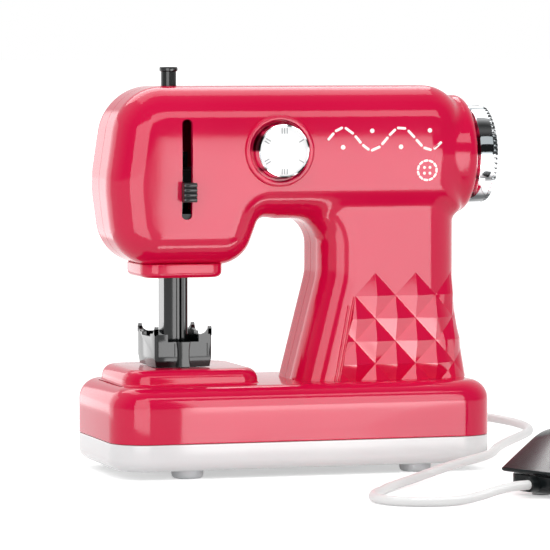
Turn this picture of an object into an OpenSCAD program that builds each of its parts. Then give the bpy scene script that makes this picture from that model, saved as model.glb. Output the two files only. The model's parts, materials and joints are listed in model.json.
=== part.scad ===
// Toy sewing machine, battery driven, with a foot pedal on a cord.
// Frame in millimetres: the origin is on the floor under the middle of the base,
// +X points to the handwheel, -Y to the front and +Z up.

/* [Base] */
// Length of the base along X
base_len = 136; // [130:1:150]
// Depth of the base along Y
base_depth = 65; // [60:1:76]
// Height of the base's flat top above the floor
base_top_z = 31.5; // [29:0.5:34]
// Height of the joint between the tray and the upper base
seam_z = 12.4; // [11:0.2:14]
// Corner radius of the base in plan
base_corner_r = 13; // [9:0.5:16]
// Rounding of the upper base's top edge
base_edge_r = 7; // [4:0.5:8]
// Rounding of the tray's bottom edge
tray_edge_r = 4; // [2:0.5:5]
// Wall of every moulded shell
wall = 2; // [1.6:0.1:2.4]
// Height of the soft feet
foot_h = 3; // [2.5:0.1:4]
// Diameter of the soft feet
foot_d = 11; // [8:0.5:12]
// Distance between the feet along X
foot_span_x = 82; // [70:1:88]
// Distance between the feet along Y
foot_span_y = 45; // [40:1:46]

/* [Work plate] */
// Length of the raised work plate along X
plate_len = 48; // [42:1:50]
// Depth of the work plate along Y
plate_depth = 44; // [36:1:48]
// Rise of the work plate above the base's top
plate_rise = 5.3; // [3:0.1:7]
// Corner radius of the work plate in plan
plate_corner_r = 9; // [6:0.5:12]
// Rounding of the work plate's top edge
plate_edge_r = 4; // [2:0.5:5]

/* [Casing] */
// Height of the arm's top above the floor
arm_top_z = 133.5; // [130:0.5:140]
// Height of the arm's underside
throat_top_z = 88; // [84:0.5:90]
// Height of the head's underside
head_bottom_z = 72; // [68:0.5:76]
// Farthest left point of the head
head_left_x = -66.5; // [-70:0.5:-64]
// Right side of the head where it meets the throat
head_right_x = -12; // [-16:0.5:-8]
// Right end of the arm
arm_right_x = 62; // [60:0.5:66]
// Depth of the arm and head
arm_depth = 42; // [40:0.5:48]
// Rounding of the arm's long edges
arm_edge_r = 12; // [10:0.5:13]
// Left side of the column under the arm
column_left_x = 10; // [6:0.5:12]
// Left side of the column at its foot
column_foot_left_x = 0.6; // [-4:0.2:4]
// Right side of the column
column_right_x = 59.5; // [58:0.5:62]
// Spread of the column's right side at its foot
column_flare = 5; // [0:0.5:6]
// Depth of the column
column_depth = 36; // [34:0.5:40]
// Width of one diamond on the column's front
diamond_w = 14.7; // [12:0.1:16]
// Height of one diamond
diamond_h = 15.8; // [12:0.1:18]
// Rise of a diamond's point above the column's front
diamond_rise = 2; // [0.5:0.1:3]
// Diameter of the round flange behind the handwheel
flange_d = 41.6; // [38:0.2:42]
// Reach of the flange past the arm's right end
flange_reach = 3.5; // [2.5:0.1:5]

/* [Drive] */
// Height of the main shaft
shaft_z = 109.2; // [106:0.2:112]
// Diameter of the main shaft
shaft_d = 4; // [3:0.1:4.4]
// Running clearance around turning shafts, on the radius
run_gap = 0.05; // [0.02:0.01:0.1]
// Module of the gears
gear_module = 0.8; // [0.7:0.02:0.86]
// Teeth on the pinion and on the small step of the compound gear
small_teeth = 9; // [9:2:11]
// Teeth on the shaft gear and on the large step of the compound gear
large_teeth = 27; // [25:2:29]
// Width of the gears
gear_face = 4; // [3:0.1:4.5]
// Throw of the crank pin
crank_throw = 7.5; // [5:0.1:8]
// Diameter of the crank pin
crank_pin_d = 3; // [2:0.1:3.4]
// Diameter of the motor can
motor_d = 20; // [18:0.5:22]
// Length of the motor can
motor_len = 20; // [16:0.5:22]
// Diameter of the handwheel
wheel_d = 34.4; // [30:0.2:38]
// Width of the handwheel
wheel_w = 8.1; // [6:0.1:10]
// Flutes around the handwheel
wheel_flutes = 48; // [24:4:60]

/* [Needle and foot] */
// Place of the presser bar along X
presser_x = -41.3; // [-43:0.1:-41]
// Width of the presser bar
presser_w = 5.4; // [4:0.1:5.6]
// Depth of the presser bar
presser_depth = 7.6; // [6:0.1:8.4]
// Diameter of the needle bar
needle_d = 3.6; // [3:0.1:4]
// Lift of the presser foot
presser_lift = 8; // [4:0.5:9]
// Reach of the pin above the arm's top
pin_reach = 6.5; // [4:0.1:10]
// Clearance between sliding pieces
slide_gap = 0.3; // [0.3:0.05:0.4]
// Width of the presser foot
shoe_w = 20.3; // [18:0.1:21]
// Depth of the presser foot
shoe_depth = 23; // [20:0.5:26]
// Height of the presser foot's walls
shoe_h = 11.2; // [9:0.1:13]
// Height of the foot's corner horns above its walls
shoe_horn = 2.7; // [1:0.1:3.5]
// Width of the collar under the head
collar_w = 29; // [27:0.5:32]
// Depth of the collar under the head
collar_depth = 28; // [24:0.5:32]
// Height of the collar under the head
collar_h = 4.2; // [3:0.1:6]
// Width of the take-up slot in the head
slot_w = 3.7; // [3.4:0.1:4.4]
// Top of the take-up slot
slot_top_z = 122.3; // [119:0.1:124]
// Bottom of the take-up slot
slot_bottom_z = 88.1; // [86:0.1:90]
// Rest height of the take-up knob
knob_z = 97.5; // [96.5:0.1:99]

/* [Dial] */
// Place of the dial along X
dial_x = -7.6; // [-9:0.1:-4]
// Height of the dial
dial_z = 111.4; // [110:0.1:112]
// Diameter of the dial knob
dial_d = 19.6; // [16:0.2:21]
// Height of the dial knob
dial_h = 6; // [4:0.1:8]
// Marks around the dial
dial_marks = 12; // [6:2:24]

/* [Batteries] */
// Diameter of one cell
cell_d = 14.2; // [14:0.1:14.6]
// Length of one cell
cell_len = 50.5; // [49:0.1:51]
// Place of the battery box along X
cell_x = -8; // [-14:1:0]
// Thickness of the battery contacts
contact_t = 0.8; // [0.4:0.1:1.2]

/* [Pedal] */
// Length of the pedal
pedal_len = 56; // [50:1:62]
// Width of the pedal
pedal_w = 32; // [30:1:40]
// Height of the pedal at its high end
pedal_h = 25; // [23:0.5:28]
// Height of the pedal's nose above the floor
pedal_nose_z = 7.6; // [7.4:0.1:9]
// Height of the pedal's lower housing
pedal_base_h = 6; // [5:0.1:6.2]
// Swing of the pedal in degrees
pedal_swing = 4; // [2:0.5:4.5]
// Diameter of the pedal's hinge pin
pedal_pin_d = 2; // [1.6:0.1:2.4]
// Diameter of the cord
cord_d = 3.2; // [2.8:0.1:3.4]

/* [Hidden] */
$fn = 48;

// Small shared sizes
fit_gap = 0.1;
touch = 0.01;
cut = 1;
screw_d = 2.4;
screw_head_d = 5;
screw_head_h = 1.8;
screw_sink = 2.2;
screw_well_d = screw_head_d + 2 * slide_gap;
boss_d = 8;
slim_boss_d = 7;
boss_pilot_d = screw_d + 2 * fit_gap;
rib_t = 1.4;
rib_foot = 2;
rib_share = 0.7;
boss_sides = 16;
corner_steps = 6;
edge_steps = 5;
least_r = 0.4;
far = 200;

// Base levels and places
tray_floor_z = foot_h + wall;
base_inner_z = base_top_z - wall;
plate_top_z = base_top_z + plate_rise;
plate_from_bar = 1;
plate_x = presser_x + presser_w / 2 + plate_from_bar;
base_screw_x = (base_len / 2 + (foot_span_x + foot_d) / 2) / 2;
base_screw_out = 1;
base_screw_y = base_depth / 2 - base_corner_r + base_screw_out;
base_screw_reach = 8;
base_boss_z = foot_h + screw_sink + wall;
base_plan = rectangle(base_len, base_depth, base_corner_r);
plate_plan = rectangle(plate_len, plate_depth, plate_corner_r);
foot_round = 0.8;
base_screw_places = [for (sx = [-1, 1], sy = [-1, 1]) [sx * base_screw_x, sy * base_screw_y]];

// Casing outlines as [x, z, corner radius], running anticlockwise when seen from the front
column_foot_right_x = column_right_x + column_flare;
column_core_down = 18;
column_core_z = arm_top_z - column_core_down;
column_root = 18;
waist_z = 60;
waist_step = 8;
waist_r = 24;
shin_r = 20;
throat_r = 10;
inner_r = 3;
head_bulge_z = 100;
head_bulge_r = 40;
chin_lean = 3.5;
chin_r = 16;
heel_lean = 6;
heel_r = 12.5;
brow_lean = 5;
brow_r = 18;
arm_end_r = 14;
arm_under_r = 4;
arm_outline = [
    [head_left_x + chin_lean, head_bottom_z, chin_r],
    [head_right_x - heel_lean, head_bottom_z, heel_r],
    [head_right_x, throat_top_z, inner_r],
    [arm_right_x, throat_top_z, arm_under_r],
    [arm_right_x, arm_top_z, arm_end_r],
    [head_left_x + brow_lean, arm_top_z, brow_r],
    [head_left_x, head_bulge_z, head_bulge_r]
];
column_sink = arm_edge_r + wall;
column_left_lean = (column_left_x - column_foot_left_x) / (waist_z + waist_step - base_top_z);
column_right_lean = column_flare / (waist_z - base_top_z);
column_outline = [
    [column_foot_left_x - column_sink * column_left_lean, base_top_z - column_sink, least_r],
    [column_foot_right_x + column_sink * column_right_lean, base_top_z - column_sink, least_r],
    [column_right_x, waist_z, waist_r],
    [column_right_x, column_core_z, inner_r],
    [column_left_x - column_root, column_core_z, inner_r],
    [column_left_x - column_root, throat_top_z, inner_r],
    [column_left_x, throat_top_z, throat_r],
    [column_left_x, waist_z + waist_step, shin_r]
];
arm_half = arm_depth / 2;

// Diamonds on the column's front
diamond_rows = 5;
diamond_columns = 3;
diamond_gap = 0.5;
diamond_sink = 0.6;
diamond_x = 28;
diamond_z = 60.8;
diamond_left_x = diamond_x - diamond_w / 2;
diamond_lean = 0.72;
diamond_edge = 1;
column_half = column_depth / 2;
column_edge_r = arm_edge_r;

column_boss_left = 15;
column_boss_right = 12;
column_boss_x = [column_left_x + column_boss_left, column_right_x - column_boss_right];
column_boss_z = 50;

head_screw_in = 10.5;
head_screw_z = 112;
mid_screw_x = 8;
mid_screw_down = 9.5;
end_screw_in = 10;
end_screw_down = 12.5;

// Casing screws along Y at [x, z, half depth of the wall they seat in]
shell_screw_places = [
    [head_left_x + head_screw_in, head_screw_z, arm_half],
    [mid_screw_x, arm_top_z - mid_screw_down, arm_half],
    [arm_right_x - end_screw_in, arm_top_z - end_screw_down, arm_half],
    [column_boss_x[0], column_boss_z, column_half],
    [column_boss_x[1], column_boss_z, column_half]
];
screw_seat = 3;
screw_reach = 9;
column_screw_y = 9;
column_screw_places = [for (x = column_boss_x, s = [-1, 1]) [x, s * column_screw_y]];
column_screw_reach = 9;

// Drive train along X, from the crank to the handwheel
gear_centres = gear_module * (small_teeth + large_teeth) / 2;
idler_z = shaft_z - gear_centres;
motor_z = idler_z - gear_centres;
gear_side = 0.5;
frame_x = 31;
frame_t = 2.5;
large_x = frame_x - gear_side - gear_face;
small_x = large_x - gear_side - gear_face;
axle_d = 2.5;
axle_head_d = 5;
axle_head_t = 1;
rotor_d = 2;
rotor_depth = 8;
motor_flat = 0.76;
motor_tab = 2;
motor_tab_t = 0.6;
motor_tab_y = 5;
motor_tab_z = 3;
frame_lip = 1;
tooth_share = 0.42;
pressure_angle = 25;
addendum = 0.85;
dedendum = 1.2;
flank_steps = 3;
flange_x = arm_right_x + flange_reach;
flange_root_x = arm_right_x - arm_edge_r - cut;
flange_edge_r = 3.5;
wheel_gap = 0.6;
wheel_x = flange_x + wheel_gap;
wheel_rim = 3;
wheel_bevel = 1;
wheel_lip = 2;
flute_r = 0.55;
flute_end = 0.6;
crank_t = 3;
crank_border = 1.5;
crank_d = 2 * (crank_throw + crank_border) + crank_pin_d;
bush_wall = 2;
bush_flange = 1.4;

// Bars, yoke and lever
bar_gap = 0.4;
bar_groove = 0.75;
needle_x = presser_x + presser_w / 2 + bar_gap + needle_d / 2;
shoe_bottom_z = plate_top_z + slide_gap;
shoe_wall = 1.6;
shoe_notch_slack = 0.8;
shoe_notch_w = needle_x + needle_d / 2 - presser_x + presser_w / 2 + 2 * shoe_notch_slack;
shoe_notch_h = 2.6;
shoe_corner = 6;
shoe_side_dip = 1;
shoe_panel_t = 0.6;
shoe_panel_z = 2.6;
shoe_panel_top = 2.9;
shoe_panel_h = shoe_h - shoe_panel_z - shoe_panel_top;
shoe_panel_gap = 0.4;
shoe_post = 1.6;
pillar_w = 4.6;
shoe_panel_w = shoe_w / 2 - pillar_w / 2 - shoe_panel_gap - shoe_post;
horn_w = 3.4;
horn_tip = 0.9;
shoe_web_h = 5.5;
shoe_web_z = shoe_bottom_z + shoe_web_h;
shoe_x = (presser_x - presser_w / 2 + needle_x + needle_d / 2) / 2;
needle_tip_up = 2.6;
needle_tip_z = shoe_bottom_z + needle_tip_up;
needle_point_h = 3;
needle_point_d = [0.8, 1.6];
yoke_z = shaft_z - crank_throw;
yoke_clear = 1.2;
yoke_face_x = needle_x + needle_d / 2 + yoke_clear;
yoke_t = 1.6;
yoke_slack = 0.4;
yoke_slot_h = crank_pin_d + yoke_slack;
yoke_end_gap = 0.5;
yoke_slot_w = 2 * (crank_throw + yoke_end_gap) + crank_pin_d;
yoke_border = 2;
yoke_front_y = -8;
crank_tip_x = yoke_face_x + yoke_t + slide_gap;
crank_pin_len = 1.6;
crank_x = crank_tip_x + crank_pin_len;
needle_over = 9;
needle_top_z = yoke_z + needle_over;
pin_d = 5.4;
pin_room = 2;
pin_foot_z = arm_top_z - wall - presser_lift - pin_room;
pin_lip = 0.5;
pin_lip_h = 1.4;
lever_from_bar = 1;
lever_x = presser_x + lever_from_bar;
lever_w = slot_w - 2 * slide_gap - fit_gap;
lever_t = 2.4;
lever_arm_h = 6;
knob_ribs = 4;
knob_rib_rise = 0.4;
knob_w = 4.4;
knob_h = 6.6;
knob_t = 3.4;
guide_down = 2;
guide_z = throat_top_z - guide_down;
guide_t = 4;
guide_in = 4.5;
guide_w = collar_w - 2 * guide_in;
guide_shift = 1;
guide_x = shoe_x + guide_shift;
collar_corner_r = 6;
head_clear = 2;
collar_z = head_bottom_z - collar_h;
bracket_in = 10;
bracket_x = head_right_x - bracket_in;
bracket_t = 4;
bracket_h = 15;

// Dial
dial_ring_w = 2.4;
dial_ring_d = dial_d + 2 * dial_ring_w;
dial_ring_rise = 1;
dial_sink = 0.4;
dial_floor_y = -arm_half + dial_sink;
dial_gap = 0.5;
dial_face_t = 0.6;
dial_rim = 1.2;
dial_face_d = dial_d - 2 * dial_rim;
dial_bevel = 1;
mark_l = 2;
mark_w = 0.6;
mark_t = 0.2;
spindle_d = 4;
spindle_reach = 6;
clip_t = 1;
clip_w = 1.5;
dial_back_y = dial_floor_y - dial_gap;
dial_front_y = dial_back_y - dial_h;

// Battery box
door_t = 1.2;
door_ledge = 2;
door_gap = 0.3;
cell_gap = 0.3;
cell_y = cell_d / 2 + cell_gap;
cell_z = foot_h + door_t + cell_d / 2;
box_half_x = cell_len / 2 + contact_t;
hatch_slack = 0.5;
hatch_x = cell_len + 2 * hatch_slack;
hatch_y = 2 * cell_d + 4 * cell_gap;
tab_len = 9;
tab_w = 11;
door_screw_reach = 7;
door_screw_x = cell_x + hatch_x / 2 + door_ledge + tab_len / 2;

// Pedal, in its own frame from the nose along its length
pedal_place = [48.5, -115.5, 0];
pedal_turn = 25;
pedal_foot_h = 1.2;
pedal_foot_d = 6;
pedal_foot_from_end = 9;
pedal_foot_from_side = 7;
pedal_inset = 3.2;
pedal_taper = 3;
pedal_wall = 1.8;
pedal_side_gap = 1;
pedal_base_top_z = pedal_foot_h + pedal_base_h;
pedal_base_len = pedal_len - 2 * pedal_inset;
pedal_base_w = pedal_w - 2 * (pedal_wall + pedal_side_gap);
pedal_mid_x = pedal_len / 2;
pedal_corner_r = 5;
pedal_mouth_x = 4;
hinge_x = 13;
hinge_up = 2;
hinge_z = pedal_nose_z + hinge_up;
lug_wall = 1.2;
lug_r = pedal_pin_d / 2 + lug_wall;
lug_t = 2;
lug_gap = 0.4;
lug_y = pedal_base_w / 2 - pedal_wall - 2 * lug_t - lug_gap;
pin_half = lug_y + 2 * lug_t + lug_gap;
pedal_floor_z = pedal_foot_h + pedal_wall;
switch_from_end = 22;
switch_x = pedal_len - switch_from_end;
switch_size = 8;
switch_top_z = 11;
plunger_d = 3.5;
plunger_h = 2;
peg_d = 4;
peg_slack = 0.6;
peg_z = switch_top_z + (switch_x - hinge_x) * tan(pedal_swing) + slide_gap + peg_slack;
spring_from_end = 12;
spring_x = pedal_len - spring_from_end;
spring_d = 8;
spring_wire = 0.9;
spring_turns = 6;
pedal_rise = 2;
pedal_brow_x = 20;
pedal_brow_up = 13.6;
pedal_brow_z = pedal_nose_z + pedal_brow_up;
pedal_nose_r = 0.6;
pedal_heel_r = 1;
pedal_back_r = 5;
pedal_brow_r = 18;
pedal_profile = [
    [0, pedal_nose_z, pedal_nose_r],
    [pedal_len, pedal_nose_z + pedal_rise, pedal_heel_r],
    [pedal_len, pedal_h, pedal_back_r],
    [pedal_brow_x, pedal_brow_z, pedal_brow_r]
];
spring_back_x = spring_x - spring_d / 2;
spring_top_z = pedal_brow_z - pedal_wall - 2 * slide_gap
    + (pedal_h - pedal_brow_z) * (spring_back_x - pedal_brow_x) / (pedal_len - pedal_brow_x);

// Cord, chosen by hand: from the gland at the back, round the right side and the front to the pedal
gland_x = 50;
gland_z = 17.5;
gland_d = 6.4;
gland_reach = 3;
gland_lip = 1;
pedal_gland_d = 4.8;
pedal_gland_z = 4.5;
pedal_gland_reach = 3.2;
cord_sides = 8;
spring_steps = 8;
spring_sides = 6;
cord_points = [
    [50, 35.5, 17.5], [50, 42, 17.5], [52.5, 49.5, 16.8], [58, 56, 15.6], [66, 60, 14.2], [75, 61.5, 12.9],
    [84, 61, 11.7], [92, 58.5, 10.6], [99, 54, 9.6], [103.5, 47.5, 8.7], [105, 40, 7.9], [103.5, 32.5, 7.3],
    [99.5, 25, 7], [93.5, 16, 6.8], [87, 6.5, 6.6], [80.5, -3.5, 6.4], [75, -13, 6.3], [70.8, -21.5, 6.2],
    [66.6, -29.4, 6], [61, -35.6, 5.5], [54, -40.4, 4.8], [46.5, -45.7, 4], [39.5, -52, 3.3],
    [32.5, -59.5, 2.8], [25.5, -67.5, 2.4], [18.5, -75.5, 2.1], [11.5, -84, 1.8], [5, -94, 1.7],
    [-0.5, -103.5, 1.7], [-3, -112, 1.7], [-2, -120, 1.7], [3, -126, 1.7], [11, -129, 1.7],
    [20, -128.2, 1.8], [28.5, -124.9, 2.6], [36, -121.4, 3.9], [42.5, -118.3, 4.5], [48.5, -115.5, 4.5]
];

// Outline with rounded corners

function unit(v) = v / norm(v);
function flat(p) = [p[0], p[1]];
function heading(outline, i) =
    let (n = len(outline))
    unit(flat(outline[(i + 1) % n]) - flat(outline[i % n]));
function turned(v, angle) = [
    v[0] * cos(angle) - v[1] * sin(angle),
    v[0] * sin(angle) + v[1] * cos(angle)
];

// Points of corner i after both its sides have moved inwards by inset
function corner_points(outline, i, inset, steps) =
    let (
        n = len(outline),
        before = heading(outline, i + n - 1),
        after = heading(outline, i),
        side = turned(before, 90),
        next_side = turned(after, 90),
        mitre = (side + next_side) / (1 + side * next_side),
        bend = acos(max(-1, min(1, before * after))),
        convex = cross(before, after) > 0,
        sign = convex ? 1 : -1,
        r = convex ? max(outline[i][2] - inset, least_r) : outline[i][2] + inset,
        centre = flat(outline[i]) + inset * mitre + sign * r * mitre
    )
    [for (k = [0 : steps]) centre - sign * r * turned(side, sign * bend * k / steps)];

function rounded(outline, inset = 0, steps = corner_steps) =
    [for (i = [0 : len(outline) - 1]) each corner_points(outline, i, inset, steps)];

function rectangle(length, width, r) = [
    [-length / 2, -width / 2, r],
    [length / 2, -width / 2, r],
    [length / 2, width / 2, r],
    [-length / 2, width / 2, r]
];

// Solid through a stack of rings of equal length, closed at both ends
module loft(rings) {
    n = len(rings[0]);
    last = len(rings) - 1;
    sides = [
        for (k = [0 : last - 1], i = [0 : n - 1])
            each [
                [k * n + i, (k + 1) * n + i, k * n + (i + 1) % n],
                [k * n + (i + 1) % n, (k + 1) * n + i, (k + 1) * n + (i + 1) % n]
            ]
    ];
    first_cap = [for (i = [0 : n - 1]) i];
    last_cap = [for (i = [n - 1 : -1 : 0]) last * n + i];
    polyhedron([for (ring = rings) each ring], concat(sides, [first_cap, last_cap]), convexity = 8);
}

// Slab of an XZ outline with its front and rear edges rounded
module slab(outline, half, edge, inset) {
    r = edge - inset;
    turn = [for (k = [0 : edge_steps]) 90 * k / edge_steps];
    front = [for (t = turn) [inset + r * (1 - sin(t)), -half + inset + r * (1 - cos(t))]];
    levels = concat(
        [for (k = [0 : edge_steps]) [front[k][0], -front[k][1]]],
        [for (k = [edge_steps : -1 : 0]) front[k]]
    );
    loft([for (s = levels) [for (p = rounded(outline, s[0])) [p[0], s[1], p[1]]]]);
}

// Box with rounded corners in plan, between two heights, with a rounded top or bottom edge
module soft_box(outline, bottom, top, bottom_r, top_r, inset) {
    turn = [for (k = [0 : edge_steps]) 90 * k / edge_steps];
    low_r = max(bottom_r - inset, 0);
    high_r = max(top_r - inset, 0);
    low = low_r > 0
        ? [for (t = turn) [inset + low_r * (1 - sin(t)), bottom + low_r * (1 - cos(t))]]
        : [[inset, bottom]];
    high = high_r > 0
        ? [for (t = turn) [inset + high_r * (1 - cos(t)), top - high_r * (1 - sin(t))]]
        : [[inset, top]];
    loft([for (s = concat(low, high)) [for (p = rounded(outline, s[0])) [p[0], p[1], s[1]]]]);
}

// Prism on a rounded outline
module plate(outline, h, steps = corner_steps) {
    linear_extrude(h) polygon(rounded(outline, 0, steps));
}

// Tube swept along points, square to its path at both ends
function path_heading(points, i) =
    unit(points[min(i + 1, len(points) - 1)] - points[max(i - 1, 0)]);
function ring_at(points, i, d, sides) =
    let (
        along = path_heading(points, i),
        across = unit(cross(along, [0, 0, 1])),
        over = cross(across, along)
    )
    [for (k = [0 : sides - 1])
        points[i] + d / 2 * (cos(360 * k / sides) * across + sin(360 * k / sides) * over)];
module tube(points, d, sides) {
    loft([for (i = [len(points) - 1 : -1 : 0]) ring_at(points, i, d, sides)]);
}

// Cylinders along X and along Y
module rod_x(d, from, to) {
    translate([from, 0, 0]) rotate([0, 90, 0]) cylinder(d = d, h = to - from);
}
module rod_y(d, from, to, sides = $fn) {
    translate([0, from, 0]) rotate([-90, 0, 0]) cylinder(d = d, h = to - from, $fn = sides);
}

// Screw standing on its head, with its point upwards
module screw(reach) {
    cylinder(d = screw_head_d, h = screw_head_h);
    cylinder(d = screw_d, h = screw_head_h + reach);
}

// Screw boss along +Z with two ribs
module boss(h) {
    cylinder(d = boss_d, h = h, $fn = boss_sides);
    for (turn = [0, 90])
        rotate([0, 0, turn]) hull() {
            translate([-boss_d / 2 - rib_foot, -rib_t / 2, 0]) cube([boss_d + 2 * rib_foot, rib_t, rib_t]);
            translate([-boss_d / 2 + rib_t, -rib_t / 2, 0]) cube([boss_d - 2 * rib_t, rib_t, h * rib_share]);
        }
}

// Casing

// The whole casing's outer form, or the room inside it when inset by the wall
module casing(inset) {
    slab(arm_outline, arm_half, arm_edge_r, inset);
    slab(column_outline, column_half, column_edge_r, inset);
    flange(inset);
}

// Round flange that ends the arm behind the handwheel
module flange(inset) {
    r = flange_d / 2 - inset;
    edge = flange_edge_r;
    translate([0, 0, shaft_z]) rotate([0, 90, 0]) rotate_extrude()
        polygon(concat(
            [[0, flange_root_x], [r, flange_root_x]],
            [for (k = [0 : edge_steps])
                [r - edge * (1 - cos(90 * k / edge_steps)),
                 flange_x - inset - edge * (1 - sin(90 * k / edge_steps))]],
            [[0, flange_x - inset]]
        ));
}

// Front surface of the column at a place along X, for the diamonds
function column_front_y(x) =
    let (
        depth_in = max(0, min(column_edge_r, column_right_x - x)),
        rise = sqrt(column_edge_r ^ 2 - (column_edge_r - depth_in) ^ 2)
    )
    -column_half + column_edge_r - rise;

// One raised diamond with its points on the column's surface
module diamond(x, z) {
    corners = [[-0.5, 0], [0, -0.5], [0.5, 0], [0, 0.5]];
    spread = (diamond_rise + diamond_sink) / diamond_rise;
    rim = [
        for (c = corners)
            let (cx = min(x + c[0] * (diamond_w - diamond_gap) * spread, column_right_x - diamond_edge))
            [cx, column_front_y(cx) + diamond_sink, z + c[1] * (diamond_h - diamond_gap) * spread]
    ];
    peak = [x, column_front_y(x) - diamond_rise, z];
    root = [x, column_front_y(x) + 2 * diamond_sink, z];
    hull() polyhedron(concat(rim, [peak, root]), [[0, 1, 4], [1, 2, 4], [2, 3, 4], [3, 0, 4], [0, 5, 1]]);
}

// Rows of diamonds, cut along the panel's slanting left border
module diamonds() {
    low_z = base_top_z - diamond_h;
    low_x = diamond_left_x - (diamond_z - low_z) * column_left_lean * diamond_lean;
    intersection() {
        for (row = [0 : diamond_rows - 1], k = [row < 2 ? 0 : -1 : diamond_columns - 1])
            diamond(diamond_x + diamond_w * (k - (row % 2) / 2), diamond_z - row * diamond_h / 2);
        rotate([90, 0, 0]) linear_extrude(far)
            polygon([
                [low_x, low_z], [far, low_z], [far, diamond_z + diamond_h],
                [diamond_left_x, diamond_z + diamond_h], [diamond_left_x, diamond_z]
            ]);
    }
}

// Holes that the seam shares: the top pin, the bars and the shaft's end bush
module seam_holes() {
    left_x = presser_x - presser_w / 2 - head_clear;
    right_x = needle_x + needle_d / 2 + head_clear;
    translate([presser_x, 0, arm_top_z - wall - cut])
        cylinder(d = pin_d + 2 * slide_gap, h = wall + 2 * cut);
    translate([left_x, -presser_depth / 2 - head_clear, head_bottom_z - cut])
        cube([right_x - left_x, presser_depth + 2 * head_clear, wall + 2 * cut]);
    translate([0, 0, shaft_z])
        rod_x(shaft_d + 2 * bush_wall + 2 * fit_gap, flange_x - wall - cut, flange_x + cut);
}

// Bosses of one half: side is -1 for the front, 1 for the rear
module shell_bosses(side) {
    for (p = shell_screw_places)
        translate([p[0], side * (p[2] - wall / 2), p[1]]) rotate([side * 90, 0, 0]) boss(p[2] - wall / 2);
    for (p = column_screw_places)
        if (p[1] * side > 0)
            translate([p[0], p[1], base_top_z + wall / 2])
                cylinder(d = slim_boss_d, h = column_screw_reach + wall, $fn = boss_sides);
}

// Room inside one half, with its bosses left standing
module cavity(side) {
    difference() {
        intersection() {
            casing(wall);
            translate([0, 0, wall]) half_space(side);
        }
        shell_bosses(side);
    }
}

module shell_screw_holes() {
    for (p = shell_screw_places)
        translate([p[0], 0, p[1]]) {
            rod_y(boss_pilot_d, -screw_reach - cut, p[2] - screw_seat + touch, boss_sides);
            rod_y(screw_well_d, p[2] - screw_seat, p[2] + cut, boss_sides);
        }
    for (p = column_screw_places)
        translate([p[0], p[1], base_top_z - cut])
            cylinder(d = boss_pilot_d, h = column_screw_reach + 2 * cut, $fn = boss_sides);
}

// Everything above the base on one side of the seam
module half_space(side) {
    translate([-far, side > 0 ? 0 : -far, base_top_z]) cube([2 * far, far, far]);
}

module front_shell() {
    color("crimson") difference() {
        intersection() {
            union() {
                casing(0);
                diamonds();
                dial_seat();
            }
            half_space(-1);
        }
        cavity(-1);
        seam_holes();
        shell_screw_holes();
        dial_hole();
        take_up_slot();
    }
}

module rear_shell() {
    color("crimson") difference() {
        intersection() {
            casing(0);
            half_space(1);
        }
        cavity(1);
        seam_holes();
        shell_screw_holes();
    }
}

// Raised ring that the dial sits in
module dial_seat() {
    translate([dial_x, 0, dial_z])
        rod_y(dial_ring_d, -arm_half - dial_ring_rise, -arm_half + wall);
}

module dial_hole() {
    translate([dial_x, 0, dial_z]) {
        rod_y(dial_d + 4 * slide_gap, -arm_half - dial_ring_rise - cut, dial_floor_y);
        rod_y(spindle_d + 2 * bush_wall + 2 * fit_gap, -arm_half - cut, -arm_half + wall + cut);
    }
}

module take_up_slot() {
    for (z = [slot_bottom_z + slot_w / 2, slot_top_z - slot_w / 2])
        translate([lever_x, 0, z]) rod_y(slot_w, -arm_half - cut, -arm_half + wall + cut);
    translate([lever_x - slot_w / 2, -arm_half - cut, slot_bottom_z + slot_w / 2])
        cube([slot_w, wall + 2 * cut, slot_top_z - slot_bottom_z - slot_w]);
}

module shell_screws() {
    color("silver") for (p = shell_screw_places)
        translate([p[0], p[2] - screw_seat + screw_head_h, p[1]])
            rotate([90, 0, 0]) screw(p[2] - screw_seat + screw_reach);
}

// Base

module base_top() {
    color("crimson") difference() {
        union() {
            difference() {
                union() {
                    soft_box(base_plan, seam_z, base_top_z, 0, base_edge_r, 0);
                    translate([plate_x, 0, 0])
                        soft_box(plate_plan, base_top_z - wall, plate_top_z, 0, plate_edge_r, 0);
                }
                soft_box(base_plan, seam_z - cut, base_inner_z, 0, base_edge_r, wall);
                translate([plate_x, 0, 0])
                    soft_box(plate_plan, base_inner_z - cut, plate_top_z - wall, 0, plate_edge_r, wall);
            }
            for (p = base_screw_places)
                translate([p[0], p[1], base_inner_z + wall / 2]) mirror([0, 0, 1])
                    boss(base_inner_z + wall / 2 - base_boss_z);
        }
        for (p = base_screw_places)
            translate([p[0], p[1], base_boss_z - cut])
                cylinder(d = boss_pilot_d, h = base_screw_reach + 2 * cut, $fn = boss_sides);
        for (p = column_screw_places)
            translate([p[0], p[1], base_inner_z - cut])
                cylinder(d = boss_pilot_d, h = wall + 2 * cut, $fn = boss_sides);
        translate([gland_x, 0, gland_z]) rod_y(gland_d, base_depth / 2 - wall - cut, base_depth / 2 + cut);
    }
}

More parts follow.
